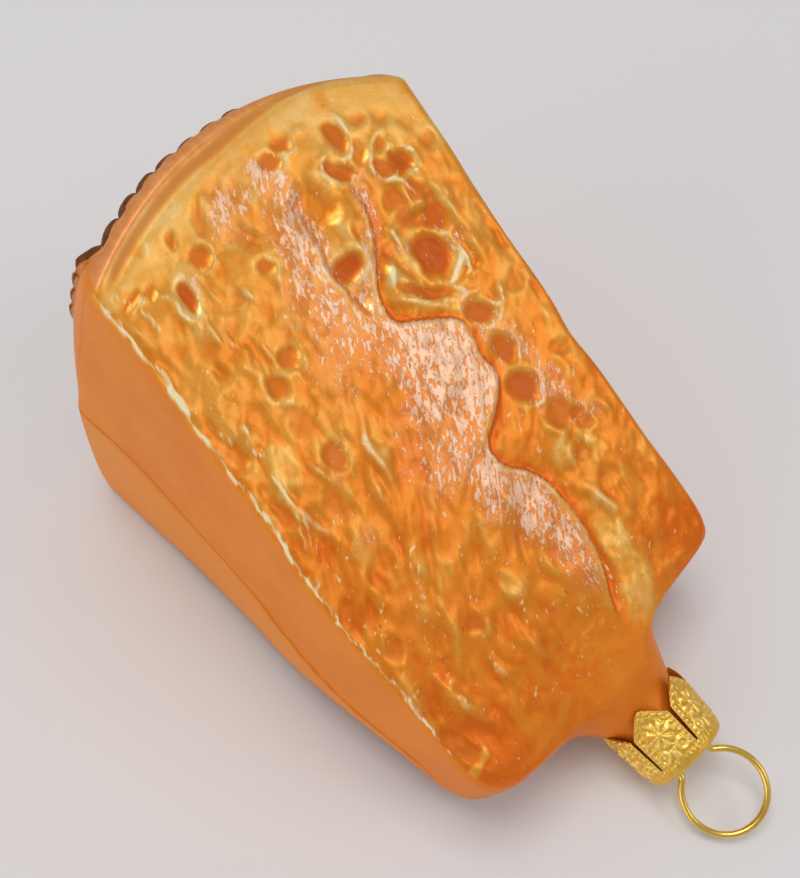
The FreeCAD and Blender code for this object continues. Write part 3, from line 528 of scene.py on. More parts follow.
def body_arrays():
    n_top, n_side, n_bot = 132, 34, 74
    c = lambda n: 1 - 2 * np.arange(n) / n
    sy = np.concatenate([c(n_top), -np.ones(n_side), -c(n_bot), np.ones(n_side)])
    sz = np.concatenate([np.ones(n_top), c(n_side), -np.ones(n_bot), -c(n_side)])
    rows = stations(9, 0.31, 0.34)
    P = place(rows, sy, sz)
    n, m = len(rows), len(sy)
    P[..., 2] += tip_lift(P, rows)
    deep, ridge_highlight, reflection_patch, zone, groove_shade, paint, thin, uu, vv = [np.zeros((n, m)) for _ in range(9)]
    x, y = P[..., 0], P[..., 1]
    live = (rows[:, 0] > -6.0) & (rows[:, 8] < 0.5)
    top = np.arange(n_top + 1)
    X, Y = x[np.ix_(live, top)], y[np.ix_(live, top)]
    h, dp, highlight_top, g, sd, thin_less_corner_shade = upper_face(X, Y)
    grow = sm(-6.0, -1.0, rows[live, 0])[:, None]
    # the groove lies inside the border on the left and slips over it towards the far corner
    arc = np.where(rows[:, 8] > 0, -1.3 * rows[:, 8], WEDGE - rows[:, 0])[:, None] + 0 * x
    centre = 0.85 - 2.2 * sm(3, -17, y)
    groove_all = np.exp(-((arc - centre) / 0.55) ** 2) * (arc < 7) * sm(19.8, 16.5, y)
    groove = groove_all[np.ix_(live, top)]
    hh = h * grow - 0.20 * groove
    ix = np.ix_(live, top)
    local = hh - blur(blur(hh, 7, 0), 7, 1)
    P[ix[0], ix[1], 2] += hh
    deep[ix] = dp
    ridge_highlight[ix] = np.clip(highlight_top, 0, 1)
    reflection_patch[ix] = g
    thin[ix] = thin_less_corner_shade
    relief = np.zeros((n, m))
    relief[ix] = local
    upper_side = ((sz > 0.9) & (np.arange(m) <= n_top))[None, :] & (arc < 7)
    # the groove's darker band is painted shade
    groove_shade = np.where(upper_side, groove_all, groove_shade)
    # lower cut face
    bot = np.arange(n_top + n_side, n_top + n_side + n_bot + 1)
    iy = np.ix_(live, bot)
    h2, dp2, highlight_bottom = lower_face(x[iy], y[iy])
    P[iy[0], iy[1], 2] -= h2
    deep[iy], ridge_highlight[iy], relief[iy] = dp2, highlight_bottom, h2 - blur(blur(h2, 7, 0), 4, 1)
    # zone: 1 on the cut faces, 0 on the moulded sides
    full = np.zeros(m)
    full[top], full[bot] = 1, 1
    zone[:] = full[None, :] * sm(-11.0, 2.0, rows[:, 0])[:, None] * (rows[:, 8] < 0.3)[:, None]
    over = upper_side & (arc <= 0) & (arc > centre - 0.5)
    zone[over] = 1
    thin[over] = 0.8
    # the mould's seam round the sides: below it the wall stands a little proud
    sides = (full < 0.5)[None, :] & (rows[:, 0] > -9)[:, None]
    z, s = P[..., 2], seam_z(x)
    # the same mask paints the wall below the seam a lighter orange: painted light
    lap = sm(0.35, -0.35, z - s) * sm(0.0, 5.0, z - (rows[:, 6][:, None] + 0.5)) * sides * sm(-2, 6, x)
    P[..., 1] += np.sign(P[..., 1]) * (0.34 * lap + 0.22 * sides * sm(0, -6, z) * np.exp(-((x - 51) / 5.0) ** 2))
    groove_shade = np.where(sides, 0.0, groove_shade)
    toseam = z - s
    # painted shade along the rind's edge on the smooth side
    rind_edge_shade = np.exp(-((arc + 0.30 + 0.25 * np.sin(z / 4.0)) / 0.22) ** 2) * (arc < 7) * sides * (y > 0)
    groove_shade = np.maximum(groove_shade, 0.55 * rind_edge_shade)
    # smooth margin of the rind between the groove and the first beads
    rosy = np.zeros((n, m))
    rosy[:] = sm(centre - 0.45, centre - 0.75, arc) * (arc < 7)
    paint[:] = 0.25 * rosy * ((sz > 0.9) * sm(0.99, 0.93, sy))[None, :]
    return P, rows, dict(deep=deep, ridge_highlight=ridge_highlight, painted_reflection=reflection_patch, zone=zone, groove_shade=groove_shade, relief=relief, lit_below_seam=lap, paint=paint, thin=thin, toseam=toseam), (n_top, n_side, n_bot)


def coons(ring, sizes, ga, gd):
    """Grid over the rind inside the last ring; ring is m x 3."""
    na, nd, nb = sizes
    top = ring[:na + 1]
    right = ring[na:na + nd + 1]
    bottom = ring[na + nd:na + nd + nb + 1][::-1]
    left = np.concatenate([ring[na + nd + nb:], ring[:1]])[::-1]

    def along(p, t):
        f = t * (len(p) - 1)
        i = np.minimum(f.astype(int), len(p) - 2)
        f = (f - i)[:, None]
        return p[i] * (1 - f) + p[i + 1] * f

    s = 0.008 + 0.984 * np.arange(ga + 1) / ga
    t = 0.006 + 0.988 * np.arange(gd + 1) / gd
    T, B, L, R = along(top, s), along(bottom, s), along(left, t), along(right, t)
    S, U = s[None, :, None], t[:, None, None]
    g = ((1 - U) * T[None] + U * B[None] + (1 - S) * L[:, None] + S * R[:, None]
         - (1 - S) * (1 - U) * top[0] - S * (1 - U) * top[-1] - (1 - S) * U * bottom[0] - S * U * bottom[-1])
    return g, np.broadcast_to(s[None, :], g.shape[:2]), np.broadcast_to(t[:, None], g.shape[:2])


def zipper(outer, inner):
    """Triangles between two index runs with the same ends in common direction."""
    tris, i, j = [], 0, 0
    while i < len(outer) - 1 or j < len(inner) - 1:
        fo = (i + 1) / (len(outer) - 1) if i < len(outer) - 1 else 9
        fq = (j + 1) / (len(inner) - 1) if j < len(inner) - 1 else 9
        if fo <= fq:
            tris.append((outer[i], inner[j], outer[i + 1]))
            i += 1
        else:
            tris.append((outer[i], inner[j], inner[j + 1]))
            j += 1
    return tris


def glass_mesh():
    P, rows, A, sizes = body_arrays()
    n, m = P.shape[:2]
    na, nd, nb = sizes
    names = ["deep", "ridge_highlight", "painted_reflection", "zone", "groove_shade", "relief", "lit_below_seam", "paint", "thin", "toseam"]
    verts = [P.reshape(-1, 3)]
    attrs = {k: [A[k].reshape(-1)] for k in names}
    i, k = np.meshgrid(np.arange(n - 1), np.arange(m), indexing="ij")
    k2 = (k + 1) % m
    quads = np.stack([i * m + k, i * m + k2, (i + 1) * m + k2, (i + 1) * m + k], -1).reshape(-1, 4)
    faces = [tuple(q) for q in quads]
    count = n * m
    # rind
    ga, gd = 150, 112
    g, s, t = coons(P[0], sizes, ga, gd)
    bead = rind_beads(s, t)
    cloth = fbm(s * 41 / 1.1, t * 50 / 0.55, 55, 3)
    g = g.copy()
    # the beads spill over the border at the smooth side
    spill = sm(0.10, 0.03, s) * sm(0.0, 0.03, t) * sm(0.42, 0.26, t) * (0.55 + 0.45 * np.abs(np.sin(np.pi * 13 * t)) ** 0.6)
    g[..., 0] += 0.75 * spill
    g[..., 1] += 0.45 * spill
    g[..., 0] += 0.80 * bead - 0.10 + 0.07 * cloth + 0.25 * fbm(s * 5, t * 6, 57, 2)
    verts.append(g.reshape(-1, 3))
    zero = np.zeros(g.shape[0] * g.shape[1])
    vals = dict(deep=zero, ridge_highlight=zero, painted_reflection=zero, zone=zero, groove_shade=zero, relief=(bead - 0.5).reshape(-1) * 0.5,
                lit_below_seam=zero, thin=zero, toseam=zero + 9, paint=(np.maximum(sm(0.62, 0.10, bead), sm(0.055, 0.035, t) * sm(0.05, 0.25, bead)) * sm(0.0, 0.03, s) * sm(1.0, 0.97, s)
                       * (1 - sm(0.62, 0.68, s) * sm(0.14, 0.10, t)) + 0.5 * spill * sm(0.045, 0.015, s)).reshape(-1) + 0.25)
    for key in names:
        attrs[key].append(vals[key])
    gi, gk = np.meshgrid(np.arange(gd), np.arange(ga), indexing="ij")
    w = ga + 1
    q = np.stack([gi * w + gk, (gi + 1) * w + gk, (gi + 1) * w + gk + 1, gi * w + gk + 1], -1).reshape(-1, 4) + count
    faces += [tuple(v) for v in q]
    ix = lambda a, b: count + a * w + b
    inner = [[ix(0, b) for b in range(ga + 1)], [ix(a, ga) for a in range(gd + 1)],
             [ix(gd, ga - b) for b in range(ga + 1)], [ix(gd - a, 0) for a in range(gd + 1)]]
    cuts = [0, na, na + nd, na + nd + nb, na + 2 * nd + nb]
    for k in range(4):
        outer = [v % m for v in range(cuts[k], cuts[k + 1] + 1)]
        faces += zipper(outer, inner[k])
    count += g.shape[0] * g.shape[1]
    # end face of the neck and its bore
    last = P[-1]
    ang = np.arctan2(last[:, 2], last[:, 1] - NECK_Y)
    base = (n - 1) * m
    for x, r in ((-15.85, 3.6), (-15.75, 3.05), (-8.2, 3.05), (-7.1, 2.1)):
        ring = np.stack([np.full(m, x), NECK_Y + r * np.cos(ang), r * np.sin(ang)], -1)
        verts.append(ring)
        for key in names:
            attrs[key].append(np.zeros(m))
        idx = np.arange(m)
        nxt = (idx + 1) % m
        faces += [tuple(v) for v in np.stack([base + idx, base + nxt, count + nxt, count + idx], -1)]
        base, count = count, count + m
    verts.append(np.array([[-6.75, NECK_Y, 0.0]]))
    for key in names:
        attrs[key].append(np.zeros(1))
    faces += [(base + a, base + (a + 1) % m, count) for a in range(m)]
    V = np.concatenate(verts)
    A = {key: np.concatenate(attrs[key]) for key in names}
    return V, faces, A


def make_mesh(name, verts_m, faces, smooth=True):
    me = bpy.data.meshes.new(name)
    me.from_pydata([tuple(v) for v in verts_m], [], [tuple(int(a) for a in f) for f in faces])
    me.validate(clean_customdata=False)
    me.update()
    if smooth:
        me.polygons.foreach_set("use_smooth", np.ones(len(me.polygons), bool))
    ob = bpy.data.objects.new(name, me)
    bpy.context.scene.collection.objects.link(ob)
    return ob


def signed_volume(v, faces):
    tot = 0.0
    for f in faces[:: max(1, len(faces) // 20000)]:
        a = v[f[0]]
        for k in range(1, len(f) - 1):
            tot += np.dot(a, np.cross(v[f[k]], v[f[k + 1]]))
    return tot


def put(ob, name, values):
    at = ob.data.attributes.new(name, "FLOAT", "POINT")
    at.data.foreach_set("value", np.asarray(values, np.float32))


# ------------------------------------------------------------------ the wire loop
WIRE_R = 0.4


def loop_path():
    """Centre line in the neck's frame: lateral, outward."""
    far_r, near_r, bend_r, c0, lat, depth = 4.8, 4.8, 0.7, 5.5, 2.3, 6.0
    best = None
    for k in range(200, 1300):
        a = math.radians(k / 10.0)
        out = -(near_r - far_r) + near_r * math.cos(a) - bend_r * (1 - math.cos(a))
        if best is None or abs(out - lat) < best[0]:
            best = (abs(out - lat), a)
    a = best[1]
    near = lambda t: (-(near_r - far_r) + near_r * math.cos(t), c0 - near_r * math.sin(t))
    meet = near(a)
    cx, cz = meet[0] + bend_r * math.cos(a), meet[1] - bend_r * math.sin(a)
    bend = lambda t: (cx - bend_r * math.cos(t), cz + bend_r * math.sin(t))
    half = [(bend(0)[0], -depth), (bend(0)[0], -depth * 0.5), (bend(0)[0], bend(0)[1] - 0.4)]
    half += [bend(t) for t in np.linspace(0, a, 9)]
    half += [near(t) for t in np.linspace(a, 0, 26)[1:]]
    half += [(far_r * math.cos(t), c0 + far_r * math.sin(t)) for t in np.linspace(0, math.pi / 2, 34)[1:]]
    other = [(-u, w) for u, w in half[::-1][1:]]
    return np.array([(0.0, u, w) for u, w in half + other])


def tube(path, r, sides):
    tan = np.gradient(path, axis=0)
    tan /= np.linalg.norm(tan, axis=1)[:, None]
    nx = np.array([1.0, 0, 0])
    verts, faces = [], []
    for p, t in zip(path, tan):
        b = np.cross(t, nx)
        b /= np.linalg.norm(b)
        for k in range(sides):
            a = 2 * math.pi * k / sides
            verts.append(p + r * (math.cos(a) * nx + math.sin(a) * b))
    n = len(path)
    for i in range(n - 1):
        for k in range(sides):
            k2 = (k + 1) % sides
            faces.append((i * sides + k, i * sides + k2, (i + 1) * sides + k2, (i + 1) * sides + k))
    faces.append(tuple(range(sides))[::-1])
    faces.append(tuple((n - 1) * sides + k for k in range(sides)))
    return np.array(verts), faces


loop_v, loop_f = tube(loop_path(), WIRE_R, 20)
loop_rest = turned(on_neck(loop_v))
lo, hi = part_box("hanger_loop")
SHIFT = (np.array(lo) + np.array(hi)) * 500.0 - (loop_rest.min(0) + loop_rest.max(0)) / 2


def world(p):
    """Mould frame, mm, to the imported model's frame, metres."""
    return (turned(p) + SHIFT) / 1000.0


V, F, A = glass_mesh()
W = world(V)
if signed_volume(W, F) < 0:
    F = [f[::-1] for f in F]
glass = make_mesh("lacquered_glass_wedge", W, F)
for key, vals in A.items():
    put(glass, key, vals)
at = glass.data.attributes.new("mould", "FLOAT_VECTOR", "POINT")
at.data.foreach_set("vector", V.astype(np.float32).ravel())
fu, fv_ = flow(V[:, 0], V[:, 1])
at = glass.data.attributes.new("flow", "FLOAT_VECTOR", "POINT")
at.data.foreach_set("vector", np.stack([fu * 0.34, fv_, V[:, 2]], -1).astype(np.float32).ravel())
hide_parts("glass_body")
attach(glass, "root")

wire = make_mesh("gilt_wire_loop", world(on_neck(loop_v)), loop_f)
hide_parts("hanger_loop")
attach(wire, "root")


# ------------------------------------------------------------------ the stamped cap
CAP_R, CAP_TIP_R, CAP_T, CAP_LEN, SHOULDER, SLIT = 5.15, 5.85, 0.26, 8.25, 5.95, 1.5
PETALS = 6
TURN = math.radians(9.0)


def cap_emboss(u, v, half_mm):
    """Stamped relief of one petal. u: mm across from its middle, v: mm down from the crown, half_mm: half its width there."""
    edge = half_mm - np.abs(u)
    lean = np.clip((CAP_LEN - v) * 0.75, 0, None)
    edge = np.minimum(edge, np.where(v > SHOULDER, edge, 9.0))
    h = np.zeros_like(u)
    # plain rim, then a beaded line inside it
    h += 0.13 * np.exp(-((edge - 0.12) / 0.13) ** 2)
    beads = 0.5 + 0.5 * np.cos(2 * np.pi * v / 0.62)
    h += 0.20 * np.exp(-((edge - 0.52) / 0.17) ** 2) * beads ** 0.8
    # rosette of rays about the petal's heart
    r = np.hypot(u, v - 4.75)
    ang = np.arctan2(v - 4.75, u)
    rays = (0.5 + 0.5 * np.cos(8 * ang)) ** 1.2
    h += 0.25 * rays * sm(1.80, 1.25, r) * sm(0.30, 0.6, r) * sm(0.05, 0.35, edge - 0.60)
    h += 0.26 * sm(0.48, 0.22, r)
    # scrolls between the crown and the rosette
    q = np.hypot(np.abs(u) - 1.35, v - 2.45)
    h += 0.20 * np.exp(-((q - 0.60) / 0.20) ** 2) * sm(0.02, 0.3, edge - 0.5) + 0.20 * sm(0.30, 0.08, q)
    h += 0.19 * np.exp(-((np.abs(u) - 0.24 - 0.14 * np.sin(v * 2.4)) / 0.16) ** 2) * sm(1.0, 1.6, v) * sm(3.0, 2.6, v)
    # stippled ground
    h += 0.10 * fbm(u / 0.42, v / 0.42, 91, 2) * sm(0.35, 0.6, edge) * sm(0.20, 0.05, h)
    return h


def cap_mesh():
    cols, rows_v, crown_r = 54, 74, 26
    step = 2 * math.pi / PETALS
    verts, emb, faces = [], [], []
    total = cols * PETALS
    ang_full = np.array([step * (p + (k / cols) - 0.5) for p in range(PETALS) for k in range(cols)])
    # crown: hub, rings out to the fillet, the fillet, and the collar down to the slits' feet
    k_f = 0.55
    prof = [(r, 0.0) for r in np.linspace(0.35, CAP_R - k_f, crown_r)]
    prof += [(CAP_R - k_f + k_f * math.sin(a), -k_f + k_f * math.cos(a)) for a in np.linspace(0.2, math.pi / 2, 7)]
    prof += [(CAP_R + (CAP_TIP_R - CAP_R) * (d / CAP_LEN), -d) for d in np.linspace(k_f, SLIT, 9)[1:]]
    for r, z in prof:
        for a in ang_full:
            e = 0.0
            local = (a / step + 0.5) % 1.0 - 0.5
            if z > -0.02:
                flute = 0.5 + 0.5 * math.cos(24 * a)
                e = 0.07 * flute * math.exp(-((r - 3.9) / 0.45) ** 2) - 0.10 * math.exp(-((r - 1.3) / 0.35) ** 2)
                verts.append((r * math.cos(a), r * math.sin(a), z + e))
            else:
                u, v, half = local * step * r, -z, step / 2 * r
                e = float(cap_emboss(np.array(u), np.array(v), np.array(half + 0.5))) * sm(0.5, 1.3, v) * 0.6
                e += 0.09 * math.exp(-((v - 1.05) / 0.16) ** 2) * (0.5 + 0.5 * math.cos(a * 60))
                verts.append(((r + e) * math.cos(a), (r + e) * math.sin(a), z))
            emb.append(e)
    n_r = len(prof)
    for i in range(n_r - 1):
        for k in range(total):
            k2 = (k + 1) % total
            faces.append((i * total + k, (i + 1) * total + k, (i + 1) * total + k2, i * total + k2))
    hub = len(verts)
    verts.append((0, 0, 0.0))
    emb.append(0.0)
    faces += [(hub, k, (k + 1) % total) for k in range(total)]
    foot = (n_r - 1) * total
    # petals
    for p in range(PETALS):
        mid = step * p
        bend = 0.16 * (hash01(p, 1.0, 3) - 0.5)
        first = [foot + (p * cols + k) % total for k in range(cols + 1)]
        prev = first
        for j in range(1, rows_v + 1):
            v = SLIT + (CAP_LEN - SLIT) * j / rows_v
            r = CAP_R + (CAP_TIP_R - CAP_R) * v / CAP_LEN + bend * ((v - SLIT) / (CAP_LEN - SLIT)) ** 2
            slit = 0.10 + 0.12 * (v - SLIT) / (SHOULDER - SLIT) if v < SHOULDER else 0.22
            half = step / 2 * r - slit
            if v > SHOULDER:
                t = (v - SHOULDER) / (CAP_LEN - SHOULDER)
                half = half * (1 - t ** 1.12) + 0.10 * t
            half -= 0.045 * (0.5 + 0.5 * math.cos(2 * math.pi * v / 0.42)) * min(1.0, (v - SLIT) / 0.6)
            row = []
            for k in range(cols + 1):
                u = (2 * k / cols - 1) * half
                e = float(cap_emboss(np.array(u), np.array(v), np.array(half)))
                a = mid + u / r
                row.append(len(verts))
                verts.append(((r + e) * math.cos(a), (r + e) * math.sin(a), -v))
                emb.append(e)
            for k in range(cols):
                faces.append((prev[k], row[k], row[k + 1], prev[k + 1]))
            prev = row
    return np.array(verts), faces, np.array(emb)


def solidified(v, f, thick):
    """A closed shell: the stamped face outside, a plain offset copy inside, joined along free edges."""
    n = len(v)
    nor = np.zeros_like(v)
    for q in f:
        a, b, c = v[q[0]], v[q[1]], v[q[2]]
        w = np.cross(b - a, c - a)
        for k in q:
            nor[k] += w
    nor /= np.maximum(np.linalg.norm(nor, axis=1), 1e-12)[:, None]
    inner = v - nor * thick
    edges = {}
    for q in f:
        for a, b in zip(q, q[1:] + q[:1]):
            edges[(a, b)] = edges.get((a, b), 0) + 1
    faces = [tuple(q) for q in f] + [tuple(k + n for k in q[::-1]) for q in f]
    for a, b in edges:
        if (b, a) not in edges:
            faces.append((b, a, a + n, b + n))
    return np.concatenate([v, inner]), faces


cv, cf, ce = cap_mesh()
if sum(np.dot(np.cross(cv[q[1]] - cv[q[0]], cv[q[2]] - cv[q[0]]), cv[q[0]] + np.array([0, 0, 4.0])) for q in cf[::37]) < 0:
    cf = [q[::-1] for q in cf]
sv, sf = solidified(cv, cf, CAP_T)
own = sv.copy()
sv[:, 0] = own[:, 0] * math.cos(TURN) - own[:, 1] * math.sin(TURN)
sv[:, 1] = own[:, 0] * math.sin(TURN) + own[:, 1] * math.cos(TURN)
cap = make_mesh("gilt_petal_cap", world(on_neck(sv)), sf)
put(cap, "emboss", np.concatenate([ce, ce * 0]))
at = cap.data.attributes.new("neck", "FLOAT_VECTOR", "POINT")
at.data.foreach_set("vector", sv.astype(np.float32).ravel())
# the two holes the wire runs through
cutters = []
for s in (1, -1):
    path = np.array([(0.0, s * 2.3, z) for z in np.linspace(1.0, -1.2, 5)])
    hv, hf = [], []
    for p in path:
        for k in range(28):
            a = 2 * math.pi * k / 28
            hv.append((p[0] + 0.58 * math.cos(a), p[1] + 0.58 * math.sin(a), p[2]))
    for i in range(4):
        for k in range(28):
            k2 = (k + 1) % 28
            hf.append((i * 28 + k, (i + 1) * 28 + k, (i + 1) * 28 + k2, i * 28 + k2))
    hf.append(tuple(range(28)))
    hf.append(tuple(4 * 28 + k for k in range(28))[::-1])
    cutter = make_mesh("cutter", world(on_neck(np.array(hv))), hf, smooth=False)
    cutters.append(cutter)
    mod = cap.modifiers.new("hole", "BOOLEAN")
    mod.operation, mod.object, mod.solver = "DIFFERENCE", cutter, "EXACT"
dg = bpy.context.evaluated_depsgraph_get()
done = bpy.data.meshes.new_from_object(cap.evaluated_get(dg), preserve_all_data_layers=True, depsgraph=dg)
cap.modifiers.clear()
cap.data = done
for c in cutters:
    bpy.data.objects.remove(c, do_unlink=True)
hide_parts("cap")
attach(cap, "root")


# ------------------------------------------------------------------ materials
class Tree:
    """Short hand for building a node tree."""

    def __init__(self, name):
        self.mat = bpy.data.materials.new(name)
        self.mat.use_nodes = True
        self.t = self.mat.node_tree
        self.t.nodes.clear()
        self.out = self.t.nodes.new("ShaderNodeOutputMaterial")
        self.bsdf = self.t.nodes.new("ShaderNodeBsdfPrincipled")
        self.t.links.new(self.bsdf.outputs[0], self.out.inputs["Surface"])

    def put(self, node, socket, value):
        s = node.inputs[socket]
        if isinstance(value, bpy.types.NodeSocket):
            self.t.links.new(value, s)
        elif value is not None:
            s.default_value = value

    def attr(self, name, kind="Fac"):
        n = self.t.nodes.new("ShaderNodeAttribute")
        n.attribute_type, n.attribute_name = "GEOMETRY", name
        return n.outputs[kind]

    def noise(self, vec, scale, detail=3.0, rough=0.5, distortion=0.0, stretch=None, turn=(0, 0, 0)):
        if stretch is not None:
            m = self.t.nodes.new("ShaderNodeMapping")
            self.put(m, "Vector", vec)
            m.inputs["Scale"].default_value = stretch
            m.inputs["Rotation"].default_value = turn
            vec = m.outputs[0]
        n = self.t.nodes.new("ShaderNodeTexNoise")
        self.put(n, "Vector", vec)
        self.put(n, "Scale", scale)
        self.put(n, "Detail", detail)
        self.put(n, "Roughness", rough)
        self.put(n, "Distortion", distortion)
        return n.outputs[0]

    def part(self, vec, i):
        n = self.t.nodes.new("ShaderNodeSeparateXYZ")
        self.put(n, 0, vec)
        return n.outputs[i]

    def math(self, op, a, b=None, c=None, clamp=False):
        n = self.t.nodes.new("ShaderNodeMath")
        n.operation, n.use_clamp = op, clamp
        self.put(n, 0, a)
        self.put(n, 1, b)
        self.put(n, 2, c)
        return n.outputs[0]

    def span(self, v, a, b, lo=0.0, hi=1.0, smooth=True):
        n = self.t.nodes.new("ShaderNodeMapRange")
        n.interpolation_type = "SMOOTHSTEP" if smooth else "LINEAR"
        self.put(n, "Value", v)
        for k, x in (("From Min", a), ("From Max", b), ("To Min", lo), ("To Max", hi)):
            self.put(n, k, x)
        return n.outputs[0]

    def mix(self, fac, a, b, mode="MIX"):
        n = self.t.nodes.new("ShaderNodeMix")
        n.data_type, n.blend_type = "RGBA", mode
        self.put(n, 0, fac)
        for k, v in ((6, a), (7, b)):
            if isinstance(v, bpy.types.NodeSocket):
                self.t.links.new(v, n.inputs[k])
            else:
                n.inputs[k].default_value = (*v, 1.0) if len(v) == 3 else v
        return n.outputs[2]

    def bump(self, height, strength, distance):
        n = self.t.nodes.new("ShaderNodeBump")
        self.put(n, "Height", height)
        self.put(n, "Strength", strength)
        self.put(n, "Distance", distance)
        self.t.links.new(n.outputs[0], self.bsdf.inputs["Normal"])


def srgb(r, g, b):
    f = lambda c: c / 12.92 if c <= 0.04045 else ((c + 0.055) / 1.055) ** 2.4
    return tuple(f(c / 255.0) for c in (r, g, b))


def lacquered_glass():
    m = Tree("lacquered_glass")
    p, q = m.attr("mould", "Vector"), m.attr("flow", "Vector")
    deep, ridge_highlight, reflection_patch, zone = m.attr("deep"), m.attr("ridge_highlight"), m.attr("painted_reflection"), m.attr("zone")
    groove_shade, relief, lit_below_seam, paint = m.attr("groove_shade"), m.attr("relief"), m.attr("lit_below_seam"), m.attr("paint")
    thin = m.attr("thin")
    grain = m.noise(p, 3.2, 3, 0.6)
    # moulded sides: even satin orange with faint clouding
    cloud = m.noise(p, 0.10, 3, 0.55)
    side = m.mix(m.span(cloud, 0.35, 0.65), srgb(242, 140, 38), srgb(247, 150, 48))
    # painted light: the side below the mould seam is made a lighter orange
    side = m.mix(m.math("MULTIPLY", lit_below_seam, 0.75), side, srgb(246, 157, 52))
    line = m.span(m.math("ABSOLUTE", m.math("ADD", m.attr("toseam"), 0.05)), 0.38, 0.06)
    line = m.math("MULTIPLY", line, m.span(m.part(p, 0), -10.0, -3.0))
    side = m.mix(m.math("MULTIPLY", line, 0.62), side, srgb(208, 98, 26))
    # painted shade in the groove and along the rind's edge
    side = m.mix(m.span(groove_shade, 0.2, 1.0, 0.0, 0.8), side, srgb(204, 96, 36))
    # cut faces: lacquer thin and pale on the crests, pooled deep in the hollows; the paler crests are in part a painted
    # highlight
    blotch = m.noise(p, 0.20, 4, 0.62, 0.5)
    drift = m.noise(q, 0.85, 4, 0.6, 0.3)
    mid = m.math("MULTIPLY", m.math("SUBTRACT", blotch, 0.5), 0.62)
    mid = m.math("ADD", mid, m.math("MULTIPLY", m.math("SUBTRACT", drift, 0.5), 0.20))
    h = m.math("ADD", m.math("MULTIPLY", relief, 0.9), mid)
    h = m.math("ADD", h, m.math("MULTIPLY", m.math("SUBTRACT", grain, 0.5), 0.10))
    # the thin mask's negative values at the tip's corners are painted shade
    h = m.math("ADD", h, m.math("MULTIPLY", thin, 0.24))
    near = m.span(m.part(p, 0), 26.0, 60.0, smooth=False)
    h = m.math("ADD", h, m.math("SUBTRACT", m.math("MULTIPLY", near, 0.17), 0.07))
    face = m.mix(m.span(h, -0.24, -0.05), srgb(230, 112, 24), srgb(236, 138, 38))
    face = m.mix(m.span(h, -0.05, 0.11), face, srgb(238, 160, 62))
    face = m.mix(m.span(h, 0.11, 0.25), face, srgb(244, 184, 92))
    face = m.mix(m.span(h, 0.25, 0.42), face, srgb(249, 208, 134))
    face = m.mix(m.span(deep, 0.12, 0.70, 0.0, 0.85), face, srgb(226, 120, 36))
    face = m.mix(m.span(deep, 0.70, 1.15, 0.0, 0.85), face, srgb(208, 94, 28))
    # painted highlight: cream on the ridges, crests, hollow rims and the lip
    face = m.mix(m.span(ridge_highlight, 0.25, 0.85, 0.0, 0.92), face, srgb(255, 243, 196))
    # painted reflection: fine whitish streaks with bare reddish ground between
    streak = m.noise(q, 2.1, 4, 0.66, 0.3, stretch=(0.9, 1.15, 1.0))
    speck = m.noise(p, 1.6, 3, 0.7)
    lit = m.math("ADD", m.math("MULTIPLY", streak, 0.80), m.math("MULTIPLY", speck, 0.20))
    cut = m.math("SUBTRACT", 0.65, m.math("MULTIPLY", reflection_patch, 0.205))
    lit = m.math("MULTIPLY", m.span(m.math("SUBTRACT", lit, cut), -0.008, 0.026), m.span(reflection_patch, 0.02, 0.2))
    face = m.mix(m.math("MULTIPLY", m.span(reflection_patch, 0.0, 0.8), 0.55), face, srgb(238, 148, 88))
    face = m.mix(m.math("MULTIPLY", lit, 0.78), face, srgb(252, 216, 186))
    # pale flecks all over the cut face: painted glints
    glint_fleck = m.span(m.noise(q, 2.6, 2, 0.5), 0.715, 0.75)
    face = m.mix(m.math("MULTIPLY", glint_fleck, 0.62), face, srgb(255, 232, 196))
    speckle = m.span(m.noise(p, 1.5, 2, 0.4), 0.74, 0.77)
    face = m.mix(m.math("MULTIPLY", speckle, 0.5), face, srgb(150, 82, 24))
    # painted shade in the groove on the cut face
    face = m.mix(m.span(groove_shade, 0.15, 0.9, 0.0, 0.75), face, srgb(206, 134, 68))
    side = m.mix(m.span(m.part(p, 0), 8.0, -3.0), side, srgb(238, 132, 36))
    col = m.mix(zone, side, face)
    # rind: rosy orange beads with brown rubbed into the gaps
    worn = m.noise(p, 0.9, 4, 0.65)
    rosy = m.mix(m.span(worn, 0.35, 0.65), srgb(222, 142, 82), srgb(232, 160, 98))
    brown = m.mix(m.span(m.noise(p, 1.7, 3, 0.6), 0.35, 0.65), srgb(74, 32, 6), srgb(118, 58, 16))
    rub = m.math("ADD", paint, m.math("MULTIPLY", m.math("SUBTRACT", worn, 0.5), 0.9))
    rosy = m.mix(m.span(rub, 0.62, 0.95, 0.0, 0.92), rosy, brown)
    col = m.mix(m.span(paint, 0.02, 0.22), col, rosy)
    m.put(m.bsdf, "Base Color", col)
